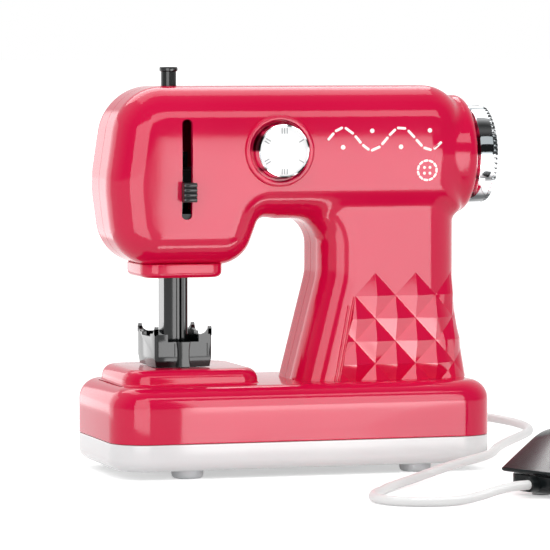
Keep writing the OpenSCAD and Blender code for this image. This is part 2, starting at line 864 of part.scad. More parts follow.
module base_tray() {
    color("white") difference() {
        union() {
            difference() {
                soft_box(base_plan, foot_h, seam_z, tray_edge_r, 0, 0);
                soft_box(base_plan, tray_floor_z, seam_z + cut, tray_edge_r, 0, wall);
            }
            battery_box();
            for (p = base_screw_places)
                translate([p[0], p[1], tray_floor_z - wall / 2])
                    cylinder(
                        d = screw_well_d + 2 * wall,
                        h = base_boss_z - tray_floor_z + wall / 2,
                        $fn = boss_sides
                    );
        }
        translate([cell_x - hatch_x / 2, -hatch_y / 2, foot_h - cut])
            cube([hatch_x, hatch_y, wall + 2 * cut]);
        translate([0, 0, foot_h - cut]) door_form(door_gap, door_t + cut);
        translate([door_screw_x, 0, foot_h - cut])
            cylinder(d = boss_pilot_d, h = door_t + door_screw_reach + 2 * cut);
        for (p = base_screw_places)
            translate([p[0], p[1], foot_h - cut]) {
                cylinder(d = screw_well_d, h = screw_sink + cut);
                cylinder(d = boss_pilot_d, h = base_boss_z - foot_h + 2 * cut);
            }
    }
}

// End walls of the battery box and the boss of the door's screw
module battery_box() {
    for (s = [-1, 1])
        translate([cell_x + s * (box_half_x + wall / 2) - wall / 2, -hatch_y / 2, foot_h + door_t])
            cube([wall, hatch_y, cell_d]);
    translate([door_screw_x, 0, foot_h + door_t]) cylinder(d = slim_boss_d, h = door_screw_reach);
}

// The door's outline with its screw tab, larger by grow on each side
module door_form(grow, h) {
    door_x = hatch_x + 2 * (door_ledge - door_gap + grow);
    door_y = hatch_y + 2 * (door_ledge - door_gap + grow);
    translate([cell_x - door_x / 2, -door_y / 2, 0]) cube([door_x, door_y, h]);
    translate([cell_x, -tab_w / 2 - grow, 0]) cube([door_x / 2 + tab_len, tab_w + 2 * grow, h]);
}

module battery_door() {
    color("white") difference() {
        translate([0, 0, foot_h]) door_form(0, door_t);
        translate([door_screw_x, 0, foot_h - cut]) cylinder(d = boss_pilot_d, h = door_t + 2 * cut);
    }
}

module door_screw() {
    color("silver") translate([door_screw_x, 0, foot_h - screw_head_h]) screw(door_screw_reach);
}

module battery_cells() {
    color("darkgreen") for (s = [-1, 1])
        translate([cell_x, s * cell_y, cell_z]) rod_x(cell_d, -cell_len / 2, cell_len / 2);
}

module battery_contacts() {
    color("gold") for (sx = [-1, 1], sy = [-1, 1])
        translate([cell_x + sx * (cell_len + contact_t) / 2 - contact_t / 2,
                   sy * cell_y - cell_d / 4, cell_z - cell_d / 4])
            cube([contact_t, cell_d / 2, cell_d / 2]);
}

module base_feet() {
    color("gainsboro") for (sx = [-1, 1], sy = [-1, 1])
        translate([sx * foot_span_x / 2, sy * foot_span_y / 2, 0]) rotate_extrude()
            polygon(concat(
                [[0, 0]],
                [for (k = [0 : edge_steps])
                    [foot_d / 2 - foot_h * foot_round * (1 - sin(90 * k / edge_steps)),
                     foot_h * foot_round * (1 - cos(90 * k / edge_steps))]],
                [[foot_d / 2, foot_h], [0, foot_h]]
            ));
}

module base_screws() {
    color("silver") for (p = base_screw_places)
        translate([p[0], p[1], foot_h + screw_sink - screw_head_h]) screw(wall + base_screw_reach);
}

module column_screws() {
    color("silver") for (p = column_screw_places)
        translate([p[0], p[1], base_inner_z - screw_head_h]) screw(wall + column_screw_reach);
}

// Bars and foot

// Clear holes for both bars, open over a height
module bar_holes(bottom, top) {
    translate([presser_x - presser_w / 2 - slide_gap, -presser_depth / 2 - slide_gap, bottom])
        cube([presser_w + 2 * slide_gap, presser_depth + 2 * slide_gap, top - bottom]);
    translate([needle_x, 0, bottom]) cylinder(d = needle_d + 2 * slide_gap, h = top - bottom);
}

module head_collar() {
    color("crimson") difference() {
        translate([shoe_x, 0, collar_z]) plate(rectangle(collar_w, collar_depth, collar_corner_r), collar_h);
        bar_holes(collar_z - cut, head_bottom_z + cut);
    }
}

module bar_guide() {
    depth = arm_depth - 2 * wall;
    color("lightgray") difference() {
        translate([guide_x - guide_w / 2, -depth / 2, guide_z]) cube([guide_w, depth, guide_t]);
        bar_holes(guide_z - cut, guide_z + guide_t + cut);
    }
}

module needle_bar() {
    color("dimgray") translate([needle_x, 0, 0]) {
        translate([0, 0, needle_tip_z + needle_point_h])
            cylinder(d = needle_d, h = needle_top_z - needle_tip_z - needle_point_h);
        translate([0, 0, needle_tip_z])
            cylinder(d1 = needle_point_d[0], d2 = needle_point_d[1], h = needle_point_h);
    }
}

// Slotted plate that the crank pin works in, clamped to the needle bar
module yoke() {
    height = yoke_slot_h + 2 * yoke_border;
    width = yoke_slot_w + 2 * yoke_border;
    color("white") difference() {
        union() {
            translate([yoke_face_x, -width / 2, yoke_z - height / 2]) cube([yoke_t, width, height]);
            translate([needle_x - needle_d / 2, yoke_front_y, yoke_z - height / 2])
                cube([yoke_face_x + touch - needle_x + needle_d / 2, -yoke_front_y, height]);
        }
        translate([needle_x, 0, yoke_z - height]) cylinder(d = needle_d, h = 2 * height);
        translate([yoke_face_x + touch, -yoke_slot_w / 2, yoke_z - yoke_slot_h / 2])
            cube([yoke_t + cut, yoke_slot_w, yoke_slot_h]);
    }
}

// Arm from the yoke to the slot, with the ribbed knob in front
module take_up_lever() {
    front_y = -arm_half - slide_gap - knob_t;
    rib_step = knob_h / knob_ribs;
    color("black") {
        translate([lever_x - lever_w / 2, yoke_front_y - lever_t, knob_z - lever_arm_h / 2])
            cube([yoke_face_x - lever_x + lever_w / 2, lever_t, yoke_z - knob_z + lever_arm_h]);
        translate([lever_x - lever_w / 2, -arm_half - knob_rib_rise - slide_gap, knob_z - lever_w / 2])
            cube([lever_w, arm_half + knob_rib_rise + slide_gap + yoke_front_y - touch, lever_w]);
        translate([lever_x - knob_w / 2, front_y, knob_z - knob_h / 2]) cube([knob_w, knob_t, knob_h]);
        for (k = [0 : knob_ribs - 1])
            translate([lever_x - knob_w / 2, front_y - knob_rib_rise,
                       knob_z - knob_h / 2 + (k + 1 / 4) * rib_step])
                cube([knob_w, knob_rib_rise + touch, rib_step / 2]);
    }
}

// Grooved bar with the round pin that shows on top of the arm
module presser_bar() {
    length = pin_foot_z - shoe_web_z;
    top_z = arm_top_z + pin_reach;
    color("black") {
        difference() {
            translate([presser_x - presser_w / 2, -presser_depth / 2, shoe_web_z])
                cube([presser_w, presser_depth, length]);
            translate([presser_x + presser_w / 2 - 2 * bar_groove,
                       -presser_depth / 2 - cut, shoe_web_z - cut])
                cube([bar_groove, cut + bar_groove, length + 2 * cut]);
        }
        translate([presser_x, 0, pin_foot_z]) cylinder(d = pin_d, h = top_z - pin_foot_z);
        translate([presser_x, 0, top_z - pin_lip_h]) cylinder(d = pin_d + 2 * pin_lip, h = pin_lip_h);
    }
}

// Open box around the needle, with horns at its corners and a notch for the bars
module presser_foot() {
    color("black") translate([shoe_x, 0, shoe_bottom_z]) difference() {
        union() {
            difference() {
                translate([-shoe_w / 2, -shoe_depth / 2, 0]) cube([shoe_w, shoe_depth, shoe_h]);
                translate([-shoe_w / 2 + shoe_wall, -shoe_depth / 2 + shoe_wall, shoe_wall])
                    cube([shoe_w - 2 * shoe_wall, shoe_depth - 2 * shoe_wall, shoe_h]);
                translate([needle_x - shoe_x, 0, -cut])
                    cylinder(d = needle_d + 2 * shoe_notch_slack, h = shoe_wall + 2 * cut);
            }
            translate([presser_x - shoe_x - presser_w / 2, -shoe_depth / 2 + shoe_wall / 2, shoe_wall / 2])
                cube([presser_w, shoe_depth - shoe_wall, shoe_web_z - shoe_bottom_z - shoe_wall / 2]);
            for (sx = [-1, 1], sy = [-1, 1])
                translate([sx * shoe_w / 2, sy * shoe_depth / 2, shoe_h]) mirror([sx > 0 ? 1 : 0, 0, 0])
                    mirror([0, sy > 0 ? 1 : 0, 0]) horn();
            translate([0, -shoe_depth / 2, 0]) cylinder(d = pillar_w, h = shoe_h - shoe_notch_h);
        }
        translate([-shoe_notch_w / 2, -shoe_depth / 2 - pillar_w, shoe_h - shoe_notch_h])
            cube([shoe_notch_w, pillar_w + shoe_wall + cut, shoe_notch_h + cut]);
        translate([-shoe_w / 2 - cut, -shoe_depth / 2 + shoe_corner, shoe_h - shoe_side_dip])
            cube([shoe_w + 2 * cut, shoe_depth - 2 * shoe_corner, shoe_side_dip + cut]);
        for (s = [-1, 1])
            translate([s * (pillar_w / 2 + shoe_panel_gap + shoe_panel_w / 2) - shoe_panel_w / 2,
                       -shoe_depth / 2 - cut, shoe_panel_z])
                cube([shoe_panel_w, cut + shoe_panel_t, shoe_panel_h]);
    }
}

// Pointed corner of the presser foot, rising from its outer corner
module horn() {
    outline = [[0, 0], [horn_w, 0], [horn_tip, shoe_horn], [0, shoe_horn]];
    translate([0, shoe_wall, -touch]) rotate([90, 0, 0]) linear_extrude(shoe_wall) polygon(outline);
    translate([0, 0, -touch]) rotate([90, 0, 90]) linear_extrude(shoe_wall) polygon(outline);
}

// Shaft and gears

// Involute gear along +X with a tooth pointing up
module gear(teeth, width, bore) {
    pitch_r = gear_module * teeth / 2;
    base_r = pitch_r * cos(pressure_angle);
    tip_r = pitch_r + addendum * gear_module;
    root_r = pitch_r - dedendum * gear_module;
    half_tooth = 360 * tooth_share / teeth / 2;
    low_r = max(base_r, root_r);
    flank = [for (k = [0 : flank_steps]) low_r + (tip_r - low_r) * k / flank_steps];
    function unroll(r) = let (a = acos(base_r / r)) tan(a) * 180 / PI - a;
    function lean(r) = half_tooth + unroll(pitch_r) - unroll(max(r, base_r));
    function polar(r, a) = [r * cos(a), r * sin(a)];
    tooth = concat(
        [[root_r, -lean(base_r)]],
        [for (r = flank) [r, -lean(r)]],
        [for (k = [flank_steps : -1 : 0]) [flank[k], lean(flank[k])]],
        [[root_r, lean(base_r)]]
    );
    points = [for (i = [0 : teeth - 1], p = tooth) polar(p[0], p[1] + 360 * i / teeth + 180)];
    rotate([0, 90, 0]) difference() {
        linear_extrude(width) polygon(points);
        translate([0, 0, -cut]) cylinder(d = bore, h = width + 2 * cut);
    }
}

module shaft_bracket() {
    depth = arm_depth - 2 * wall;
    color("lightgray") difference() {
        translate([bracket_x, -depth / 2, shaft_z - bracket_h / 2]) cube([bracket_t, depth, bracket_h]);
        translate([0, 0, shaft_z])
            rod_x(shaft_d + 2 * bush_wall, bracket_x - cut, bracket_x + bracket_t + cut);
    }
}

// Flanged bush along +X, with its flange at the start
module bush_x(from, to) {
    translate([0, 0, shaft_z]) difference() {
        union() {
            rod_x(shaft_d + 2 * bush_wall, from, to);
            rod_x(shaft_d + 4 * bush_wall, from - bush_flange, from);
        }
        rod_x(shaft_d + 2 * run_gap, from - bush_flange - cut, to + cut);
    }
}

module shaft_bush() {
    color("goldenrod") bush_x(bracket_x, bracket_x + bracket_t);
}

module end_bush() {
    color("goldenrod") bush_x(flange_x - wall, flange_x);
}

module main_shaft() {
    color("silver") translate([0, 0, shaft_z]) rod_x(shaft_d, crank_x, wheel_x + wheel_w - wheel_rim);
}

module crank_disc() {
    color("white") translate([0, 0, shaft_z]) {
        difference() {
            rod_x(crank_d, crank_x, crank_x + crank_t);
            rod_x(shaft_d, crank_x - cut, crank_x + crank_t + cut);
        }
        translate([0, 0, -crank_throw]) rod_x(crank_pin_d, crank_tip_x, crank_x + touch);
    }
}

module shaft_gear() {
    color("white") translate([small_x + gear_side / 2, 0, shaft_z])
        gear(large_teeth, gear_face - gear_side, shaft_d);
}

// Fluted wheel with a stepped outer face
module handwheel() {
    r = wheel_d / 2;
    end = wheel_x + wheel_w;
    color("silver") translate([0, 0, shaft_z]) difference() {
        rotate([0, 90, 0]) rotate_extrude($fn = 96)
            polygon([
                [shaft_d / 2, wheel_x], [r - wheel_bevel, wheel_x], [r, wheel_x + wheel_bevel],
                [r, end - wheel_rim], [r - wheel_bevel, end - wheel_bevel],
                [r - wheel_lip, end], [r - 2 * wheel_lip, end],
                [r - 2 * wheel_lip - wheel_bevel, end - wheel_bevel],
                [0, end - wheel_bevel], [0, end - wheel_rim], [shaft_d / 2, end - wheel_rim]
            ]);
        for (k = [0 : wheel_flutes - 1])
            rotate([360 * k / wheel_flutes, 0, 0]) translate([0, 0, r + flute_r / 2])
                rod_x(2 * flute_r, wheel_x - cut, end - wheel_rim - flute_end);
    }
}

// Plate across the column that carries the motor and the gear axle
module gear_frame() {
    depth = column_depth - 2 * wall;
    bottom = motor_z - motor_d / 2 - frame_lip;
    top = idler_z + axle_head_d;
    color("lightgray") difference() {
        translate([frame_x, -depth / 2, bottom]) cube([frame_t, depth, top - bottom]);
        translate([0, 0, idler_z]) rod_x(axle_d, frame_x - cut, frame_x + frame_t + cut);
        translate([0, 0, motor_z]) rod_x(2 * rotor_d, frame_x - cut, frame_x + frame_t + cut);
    }
}

module gear_axle() {
    color("silver") translate([0, 0, idler_z]) {
        rod_x(axle_d, small_x - gear_side, frame_x + frame_t);
        rod_x(axle_head_d, small_x - gear_side - axle_head_t, small_x - gear_side);
    }
}

module compound_gear() {
    color("ivory") translate([0, 0, idler_z]) {
        translate([large_x, 0, 0]) gear(large_teeth, gear_face, axle_d + 2 * run_gap);
        translate([small_x, 0, 0]) gear(small_teeth, gear_face + gear_side, axle_d + 2 * run_gap);
    }
}

module motor() {
    flat_h = motor_d * motor_flat;
    start = frame_x + frame_t;
    color("gray") translate([0, 0, motor_z]) difference() {
        union() {
            intersection() {
                rod_x(motor_d, start, start + motor_len);
                translate([start, -flat_h / 2, -motor_d / 2]) cube([motor_len, flat_h, motor_d]);
            }
            for (s = [-1, 1])
                translate([start + motor_len - touch, s * motor_tab_y - motor_tab / 2, motor_tab_z])
                    cube([motor_tab, motor_tab, motor_tab_t]);
        }
        rod_x(rotor_d + 2 * run_gap, start - cut, start + rotor_depth);
    }
}

module motor_pinion() {
    color("khaki") translate([0, 0, motor_z]) {
        translate([large_x, 0, 0]) gear(small_teeth, gear_face, rotor_d - touch);
        rod_x(rotor_d, large_x, frame_x + frame_t + rotor_depth - gear_side);
    }
}

// Dial

module dial_knob() {
    color("silver") translate([dial_x, 0, dial_z]) rotate([90, 0, 0]) difference() {
        translate([0, 0, -dial_back_y]) rotate_extrude($fn = 72)
            polygon([
                [0, 0], [dial_d / 2, 0], [dial_d / 2, dial_h - dial_bevel], [dial_d / 2 - dial_bevel, dial_h],
                [0, dial_h]
            ]);
        translate([0, 0, -dial_front_y - dial_face_t]) cylinder(d = dial_face_d, h = dial_face_t + cut);
        translate([0, 0, -dial_back_y - cut]) cylinder(d = spindle_d, h = cut + dial_h / 2);
    }
}

module dial_face() {
    color("white") translate([dial_x, 0, dial_z]) rotate([90, 0, 0])
        translate([0, 0, -dial_front_y - dial_face_t]) {
            cylinder(d = dial_face_d, h = dial_face_t);
            for (k = [0 : dial_marks - 1])
                rotate([0, 0, 360 * k / dial_marks])
                    translate([dial_face_d / 2 - mark_l * 3 / 2, -mark_w / 2, dial_face_t - touch])
                        cube([mark_l, mark_w, mark_t]);
        }
}

module dial_spindle() {
    color("silver") translate([dial_x, 0, dial_z])
        rod_y(spindle_d, dial_back_y - dial_h / 2, dial_back_y + spindle_reach + clip_t);
}

module dial_bush() {
    color("lightgray") translate([dial_x, 0, dial_z]) difference() {
        union() {
            rod_y(spindle_d + 2 * bush_wall, dial_floor_y, -arm_half + wall);
            rod_y(spindle_d + 4 * bush_wall, -arm_half + wall, -arm_half + wall + bush_flange);
        }
        rod_y(spindle_d + 2 * run_gap, dial_floor_y - cut, -arm_half + wall + bush_flange + cut);
    }
}

module dial_clip() {
    color("silver") translate([dial_x, 0, dial_z]) difference() {
        rod_y(spindle_d + 2 * clip_w, dial_back_y + spindle_reach - clip_t, dial_back_y + spindle_reach);
        rod_y(spindle_d, dial_back_y, dial_back_y + spindle_reach + cut);
    }
}

// Cord

module cord_gland() {
    start = base_depth / 2;
    color("white") translate([gland_x, 0, gland_z]) {
        rod_y(gland_d, start - wall - gland_lip, start);
        rod_y(gland_d + 2 * gland_lip, start, start + gland_lip);
        rod_y(gland_d - gland_lip, start + gland_lip, start + gland_reach);
        rod_y(gland_d + 2 * gland_lip, start - wall - 2 * gland_lip, start - wall - gland_lip);
    }
}

module cord() {
    color("white") tube(cord_points, cord_d, cord_sides);
}

// Pedal

module at_pedal() {
    translate(pedal_place) rotate([0, 0, pedal_turn]) children();
}

// Prism across the pedal on an outline of its side view
module across_pedal(outline, width, inset) {
    translate([0, width / 2, 0]) rotate([90, 0, 0]) linear_extrude(width) polygon(rounded(outline, inset));
}

module pedal_cover() {
    color("#2b2f31") at_pedal() difference() {
        intersection() {
            across_pedal(pedal_profile, pedal_w, 0);
            union() {
                difference() {
                    translate([-cut, -far / 2, 0]) cube([far, far, far]);
                    pedal_hollow();
                }
                for (s = [-1, 1])
                    translate([0, s * (lug_y + lug_t + lug_gap + lug_t / 2), 0]) cover_lug();
                translate([switch_x, 0, peg_z]) cylinder(d = peg_d, h = far);
            }
        }
        translate([hinge_x, 0, hinge_z])
            rod_y(pedal_pin_d + 2 * run_gap, -pin_half - fit_gap, pin_half + fit_gap);
    }
}

// Room under the cover, open below
module pedal_hollow() {
    width = pedal_w - 2 * pedal_wall;
    start = pedal_wall + pedal_mouth_x;
    end = pedal_len - pedal_wall;
    mouth = [
        [start, 0],
        [end, 0],
        [end, pedal_nose_z + pedal_rise + pedal_wall + pedal_heel_r],
        [start, pedal_nose_z + pedal_wall + pedal_nose_r]
    ];
    across_pedal(pedal_profile, width, pedal_wall);
    translate([0, width / 2, 0]) rotate([90, 0, 0]) linear_extrude(width) polygon(mouth);
}

module cover_lug() {
    translate([0, -lug_t / 2, 0]) {
        translate([hinge_x, 0, hinge_z]) rod_y(2 * lug_r, 0, lug_t);
        translate([hinge_x - lug_r, 0, hinge_z]) cube([2 * lug_r, lug_t, far]);
    }
}

module pedal_base() {
    plan = rectangle(pedal_base_len, pedal_base_w, pedal_corner_r);
    color("#1f2224") at_pedal() difference() {
        union() {
            translate([pedal_mid_x, 0, 0]) difference() {
                soft_box(plan, pedal_foot_h, pedal_base_top_z, pedal_taper, 0, 0);
                soft_box(plan, pedal_floor_z, pedal_base_top_z + cut, pedal_taper, 0, pedal_wall);
            }
            for (s = [-1, 1])
                translate([0, s * (lug_y + lug_t / 2) - lug_t / 2, 0]) {
                    translate([hinge_x, 0, hinge_z]) rod_y(2 * lug_r, 0, lug_t);
                    translate([hinge_x - lug_r, 0, pedal_floor_z - touch])
                        cube([2 * lug_r, lug_t, hinge_z - pedal_floor_z]);
                }
        }
        translate([hinge_x, 0, hinge_z]) rod_y(pedal_pin_d, -pin_half, pin_half);
        translate([0, 0, pedal_gland_z]) rod_x(pedal_gland_d, -cut, pedal_inset + pedal_wall + cut);
    }
}

module pedal_hinge_pin() {
    color("silver") at_pedal() translate([hinge_x, 0, hinge_z]) rod_y(pedal_pin_d, -pin_half, pin_half);
}

// Coil between the lower housing's floor and the cover
module pedal_spring() {
    low = pedal_floor_z + spring_wire / 2;
    high = spring_top_z - spring_wire / 2;
    steps = spring_steps * spring_turns;
    r = (spring_d - spring_wire) / 2;
    points = [
        for (k = [0 : steps])
            let (turn = 360 * k / spring_steps)
            [spring_x + r * cos(turn), r * sin(turn), low + (high - low) * k / steps]
    ];
    color("silver") at_pedal() tube(points, spring_wire, spring_sides);
}

module pedal_switch() {
    color("dimgray") at_pedal() {
        translate([switch_x - switch_size / 2, -switch_size / 2, pedal_floor_z])
            cube([switch_size, switch_size, switch_top_z - plunger_h - pedal_floor_z]);
        translate([switch_x, 0, switch_top_z - plunger_h - touch]) cylinder(d = plunger_d, h = plunger_h);
    }
}

module pedal_feet() {
    span_x = pedal_base_len / 2 - pedal_foot_from_end;
    span_y = pedal_base_w / 2 - pedal_foot_from_side;
    color("dimgray") at_pedal() for (sx = [-1, 1], sy = [-1, 1])
        translate([pedal_mid_x + sx * span_x, sy * span_y, 0]) cylinder(d = pedal_foot_d, h = pedal_foot_h);
}

module pedal_gland() {
    color("white") at_pedal() translate([0, 0, pedal_gland_z])
        rod_x(pedal_gland_d, pedal_inset - pedal_gland_reach, pedal_inset + pedal_wall);
}

front_shell();
rear_shell();
base_top();
base_tray();
base_feet();
battery_door();
door_screw();
battery_cells();
battery_contacts();
shell_screws();
column_screws();
base_screws();
head_collar();
bar_guide();
needle_bar();
yoke();
take_up_lever();
presser_bar();
presser_foot();
shaft_bracket();
shaft_bush();
end_bush();
main_shaft();
crank_disc();
shaft_gear();
handwheel();
gear_frame();
gear_axle();
compound_gear();
motor();
motor_pinion();
dial_knob();
dial_face();
dial_spindle();
dial_bush();
dial_clip();
cord_gland();
cord();
pedal_gland();
pedal_base();
pedal_cover();
pedal_hinge_pin();
pedal_spring();
pedal_switch();
pedal_feet();
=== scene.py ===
# Toy sewing machine with a foot pedal: the looks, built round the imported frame.
import json
import math
import bmesh
import bpy
import numpy as np
from mathutils import Matrix, Vector


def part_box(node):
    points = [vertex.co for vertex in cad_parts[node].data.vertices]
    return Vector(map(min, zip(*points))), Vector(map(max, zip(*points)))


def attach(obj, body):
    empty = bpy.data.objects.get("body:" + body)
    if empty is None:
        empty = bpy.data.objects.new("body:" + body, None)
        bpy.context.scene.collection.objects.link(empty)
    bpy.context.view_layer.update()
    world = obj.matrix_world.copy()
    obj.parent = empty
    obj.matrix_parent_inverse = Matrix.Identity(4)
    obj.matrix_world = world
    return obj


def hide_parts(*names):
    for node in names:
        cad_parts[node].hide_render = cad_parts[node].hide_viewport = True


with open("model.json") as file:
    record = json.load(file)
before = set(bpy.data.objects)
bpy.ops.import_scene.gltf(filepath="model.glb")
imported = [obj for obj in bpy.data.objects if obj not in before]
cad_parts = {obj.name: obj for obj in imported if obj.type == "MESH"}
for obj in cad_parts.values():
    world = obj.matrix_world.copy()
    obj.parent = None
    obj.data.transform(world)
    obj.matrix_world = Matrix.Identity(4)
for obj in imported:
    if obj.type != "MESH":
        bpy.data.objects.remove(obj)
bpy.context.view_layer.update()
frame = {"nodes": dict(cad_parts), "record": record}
MM = 0.001
scene = bpy.context.scene
scene.view_settings.view_transform = "Standard"

# Sizes in millimetres, as in the part's source
BASE_LEN, BASE_DEPTH, BASE_CORNER = 136, 65, 13
FOOT_H, SEAM_Z, BASE_TOP = 3, 12.4, 31.5
PLATE_LEN, PLATE_DEPTH, PLATE_CORNER, PLATE_TOP, PLATE_X = 48, 44, 9, 36.8, -37.6
WALL = 2
ARM_HALF, COLUMN_HALF, EDGE_R = 21, 18, 12
SHAFT_Z = 109.2
DIAL_X, DIAL_Z = -7.6, 111.4
PRESSER_X, NEEDLE_X, SLOT_X = -41.3, -36.4, -40.3
PEDAL_PLACE, PEDAL_TURN = (48.5, -115.5, 0), math.radians(25)
UP, FORWARD = (0, 0, 1), (0, -1, 0)
WELD = 0.01


# Camera

def aim(obj, target):
    obj.rotation_euler = (Vector(target) - obj.location).to_track_quat("-Z", "Y").to_euler()


def make_camera():
    """Camera at the photograph's angle, with its focal length in pixels of a square frame."""
    yaw, pitch = math.radians(16.8), math.radians(3.35)
    focus, distance, frame_px, focal_px = Vector((-2.94, 0, 67.5)), 1443, 550, 4142
    ahead = Vector((math.sin(yaw) * math.cos(pitch), math.cos(yaw) * math.cos(pitch),
                    -math.sin(pitch)))
    data = bpy.data.cameras.new("camera")
    data.sensor_width = 36
    data.lens = data.sensor_width * focal_px / frame_px
    data.clip_start, data.clip_end = 0.02, 100
    camera = bpy.data.objects.new("camera", data)
    scene.collection.objects.link(camera)
    camera.location = (focus - ahead * distance) * MM
    aim(camera, focus * MM)
    scene.camera = camera


make_camera()


# Materials

def linear(code):
    """Linear colour of a six-digit sRGB code."""
    parts = [int(code[i:i + 2], 16) / 255 for i in (0, 2, 4)]
    return [v / 12.92 if v <= 0.04045 else ((v + 0.055) / 1.055) ** 2.4 for v in parts] + [1]


class Shader:
    """A Principled material with helpers for its procedural parts."""

    def __init__(self, name, **values):
        self.material = bpy.data.materials.new(name)
        self.material.use_nodes = True
        self.tree = self.material.node_tree
        self.main = self.tree.nodes["Principled BSDF"]
        self.place = self.node("ShaderNodeTexCoord").outputs["Object"]
        for socket, value in values.items():
            self.main.inputs[socket.replace("_", " ")].default_value = value

    def node(self, kind, **values):
        node = self.tree.nodes.new(kind)
        for name, value in values.items():
            setattr(node, name, value)
        return node

    def link(self, start, end):
        self.tree.links.new(start, end)

    def noise(self, scale, detail=2.0):
        node = self.node("ShaderNodeTexNoise")
        node.inputs["Scale"].default_value = scale
        node.inputs["Detail"].default_value = detail
        self.link(self.place, node.inputs["Vector"])
        return node.outputs["Fac"]

    def ramp(self, fac, low, high, start=0.35, end=0.65):
        node = self.node("ShaderNodeValToRGB")
        node.color_ramp.elements[0].position = start
        node.color_ramp.elements[1].position = end
        node.color_ramp.elements[0].color = low
        node.color_ramp.elements[1].color = high
        self.link(fac, node.inputs["Fac"])
        return node.outputs["Color"]

    def spread(self, fac, low, high):
        node = self.node("ShaderNodeMapRange")
        node.inputs["To Min"].default_value = low
        node.inputs["To Max"].default_value = high
        self.link(fac, node.inputs["Value"])
        return node.outputs["Result"]

    def colour(self, low, high, scale):
        tone = self.ramp(self.noise(scale), low, high)
        self.link(tone, self.main.inputs["Base Color"])

    def roughness(self, low, high, scale):
        gloss = self.spread(self.noise(scale, detail=3.0), low, high)
        self.link(gloss, self.main.inputs["Roughness"])

    def bump(self, height, strength, distance):
        node = self.node("ShaderNodeBump")
        node.inputs["Strength"].default_value = strength
        node.inputs["Distance"].default_value = distance
        self.link(height, node.inputs["Height"])
        self.link(node.outputs["Normal"], self.main.inputs["Normal"])


def moulded(name, low, high, rough, grain=2200, strength=0.05, **values):
    """Plastic or rubber with a slight change of tone and gloss and a fine grain."""
    tone_scale, gloss_scale, grain_depth = 22, 160, 0.00005
    shader = Shader(name, **values)
    shader.colour(linear(low), linear(high), tone_scale)
    shader.roughness(*rough, gloss_scale)
    shader.bump(shader.noise(grain), strength, grain_depth)
    return shader.material


METAL_GLOSS_SCALE = 420


def metal(name, low, high, rough, grain=900, strength=0.04):
    """Metal with a slight change of tone and gloss and a fine grain."""
    tone_scale, grain_depth = 60, 0.00004
    shader = Shader(name, Metallic=1.0)
    shader.colour(linear(low), linear(high), tone_scale)
    shader.roughness(*rough, METAL_GLOSS_SCALE)
    shader.bump(shader.noise(grain, detail=3.0), strength, grain_depth)
    return shader.material


def reflection_banded_metal(name, axes_used, centre, bands, dark, light):
    """Plated metal with painted reflections: its colour turns dark and light in bands round an axis,
    in place of the surroundings it would reflect.
    """
    shader = Shader(name, Metallic=1.0)
    shader.roughness(0.04, 0.08, METAL_GLOSS_SCALE)
    axes = shader.node("ShaderNodeSeparateXYZ")
    shader.link(shader.place, axes.inputs["Vector"])
    sides = []
    for axis, middle in zip(axes_used, centre):
        less = shader.node("ShaderNodeMath", operation="SUBTRACT")
        shader.link(axes.outputs[axis], less.inputs[1])
        less.inputs[0].default_value = middle * MM
        sides.append(less.outputs[0])
    turn = shader.node("ShaderNodeMath", operation="ARCTAN2")
    shader.link(sides[1], turn.inputs[0])
    shader.link(sides[0], turn.inputs[1])
    wave = shader.node("ShaderNodeTexNoise", noise_dimensions="1D")
    wave.inputs["Scale"].default_value = bands
    wave.inputs["Detail"].default_value = 1.0
    shader.link(turn.outputs[0], wave.inputs["W"])
    # Painted reflection: the base colour bands from dark to light round the axis
    tone = shader.ramp(wave.outputs["Fac"], linear(dark), linear(light), start=0.44, end=0.56)
    shader.link(tone, shader.main.inputs["Base Color"])
    return shader.material


PINK = moulded("pink_gloss", "D60A42", "DA1046", (0.08, 0.12), Specular_IOR_Level=0.3)
WHITE = moulded("white_gloss", "E8E8E9", "EEEEEE", (0.16, 0.22), Specular_IOR_Level=0.3)
BLACK = moulded("black_gloss", "0C0F10", "121617", (0.09, 0.13), Specular_IOR_Level=0.35)
PEDAL = moulded("pedal_black", "0E1112", "151A1B", (0.18, 0.24), Specular_IOR_Level=0.16)
MATT = moulded("black_satin", "101314", "181C1D", (0.3, 0.4), Specular_IOR_Level=0.2)
CHROME = metal("chrome_plate", "D9DBDE", "E6E7EA", (0.03, 0.07))
# Painted reflections: the dial rim and the wheel get dark and light bands in their colour
RIM = reflection_banded_metal("chrome_rim_painted_reflection", "XZ", (DIAL_X, DIAL_Z), 1.5, "1D2022", "EEF0F2")
WHEEL = reflection_banded_metal("chrome_wheel_painted_reflection", "YZ", (0, SHAFT_Z), 2.2, "54585A", "EEF0F2")
STEEL = metal("zinc_steel", "A9ABAE", "BDBFC2", (0.24, 0.38), 1600, 0.12)
BRASS = metal("bright_brass", "B8934A", "C9A65C", (0.22, 0.34), 1200, 0.1)
FACE = moulded("dial_white", "F4F4F4", "FAFAFA", (0.32, 0.4))
INK = moulded("mark_grey", "8F9294", "A0A3A5", (0.4, 0.5))
PRINT = moulded("print_white", "F6F3F3", "FFFDFD", (0.28, 0.36))
CORD = moulded("cord_white", "E8E8E8", "EFEFEE", (0.34, 0.44), 1500, 0.1)
GREY = moulded("inner_grey", "9C9B97", "A8A7A2", (0.4, 0.5), 1500, 0.1)
WRAP = moulded("cell_wrap", "1F4A34", "2A5C42", (0.2, 0.3))
RUBBER = moulded("soft_foot", "D3D5D7", "DFE0E2", (0.3, 0.42), 1300, 0.1, Subsurface_Weight=0.3,
                 Subsurface_Radius=(0.003, 0.003, 0.003), Subsurface_Scale=0.6)

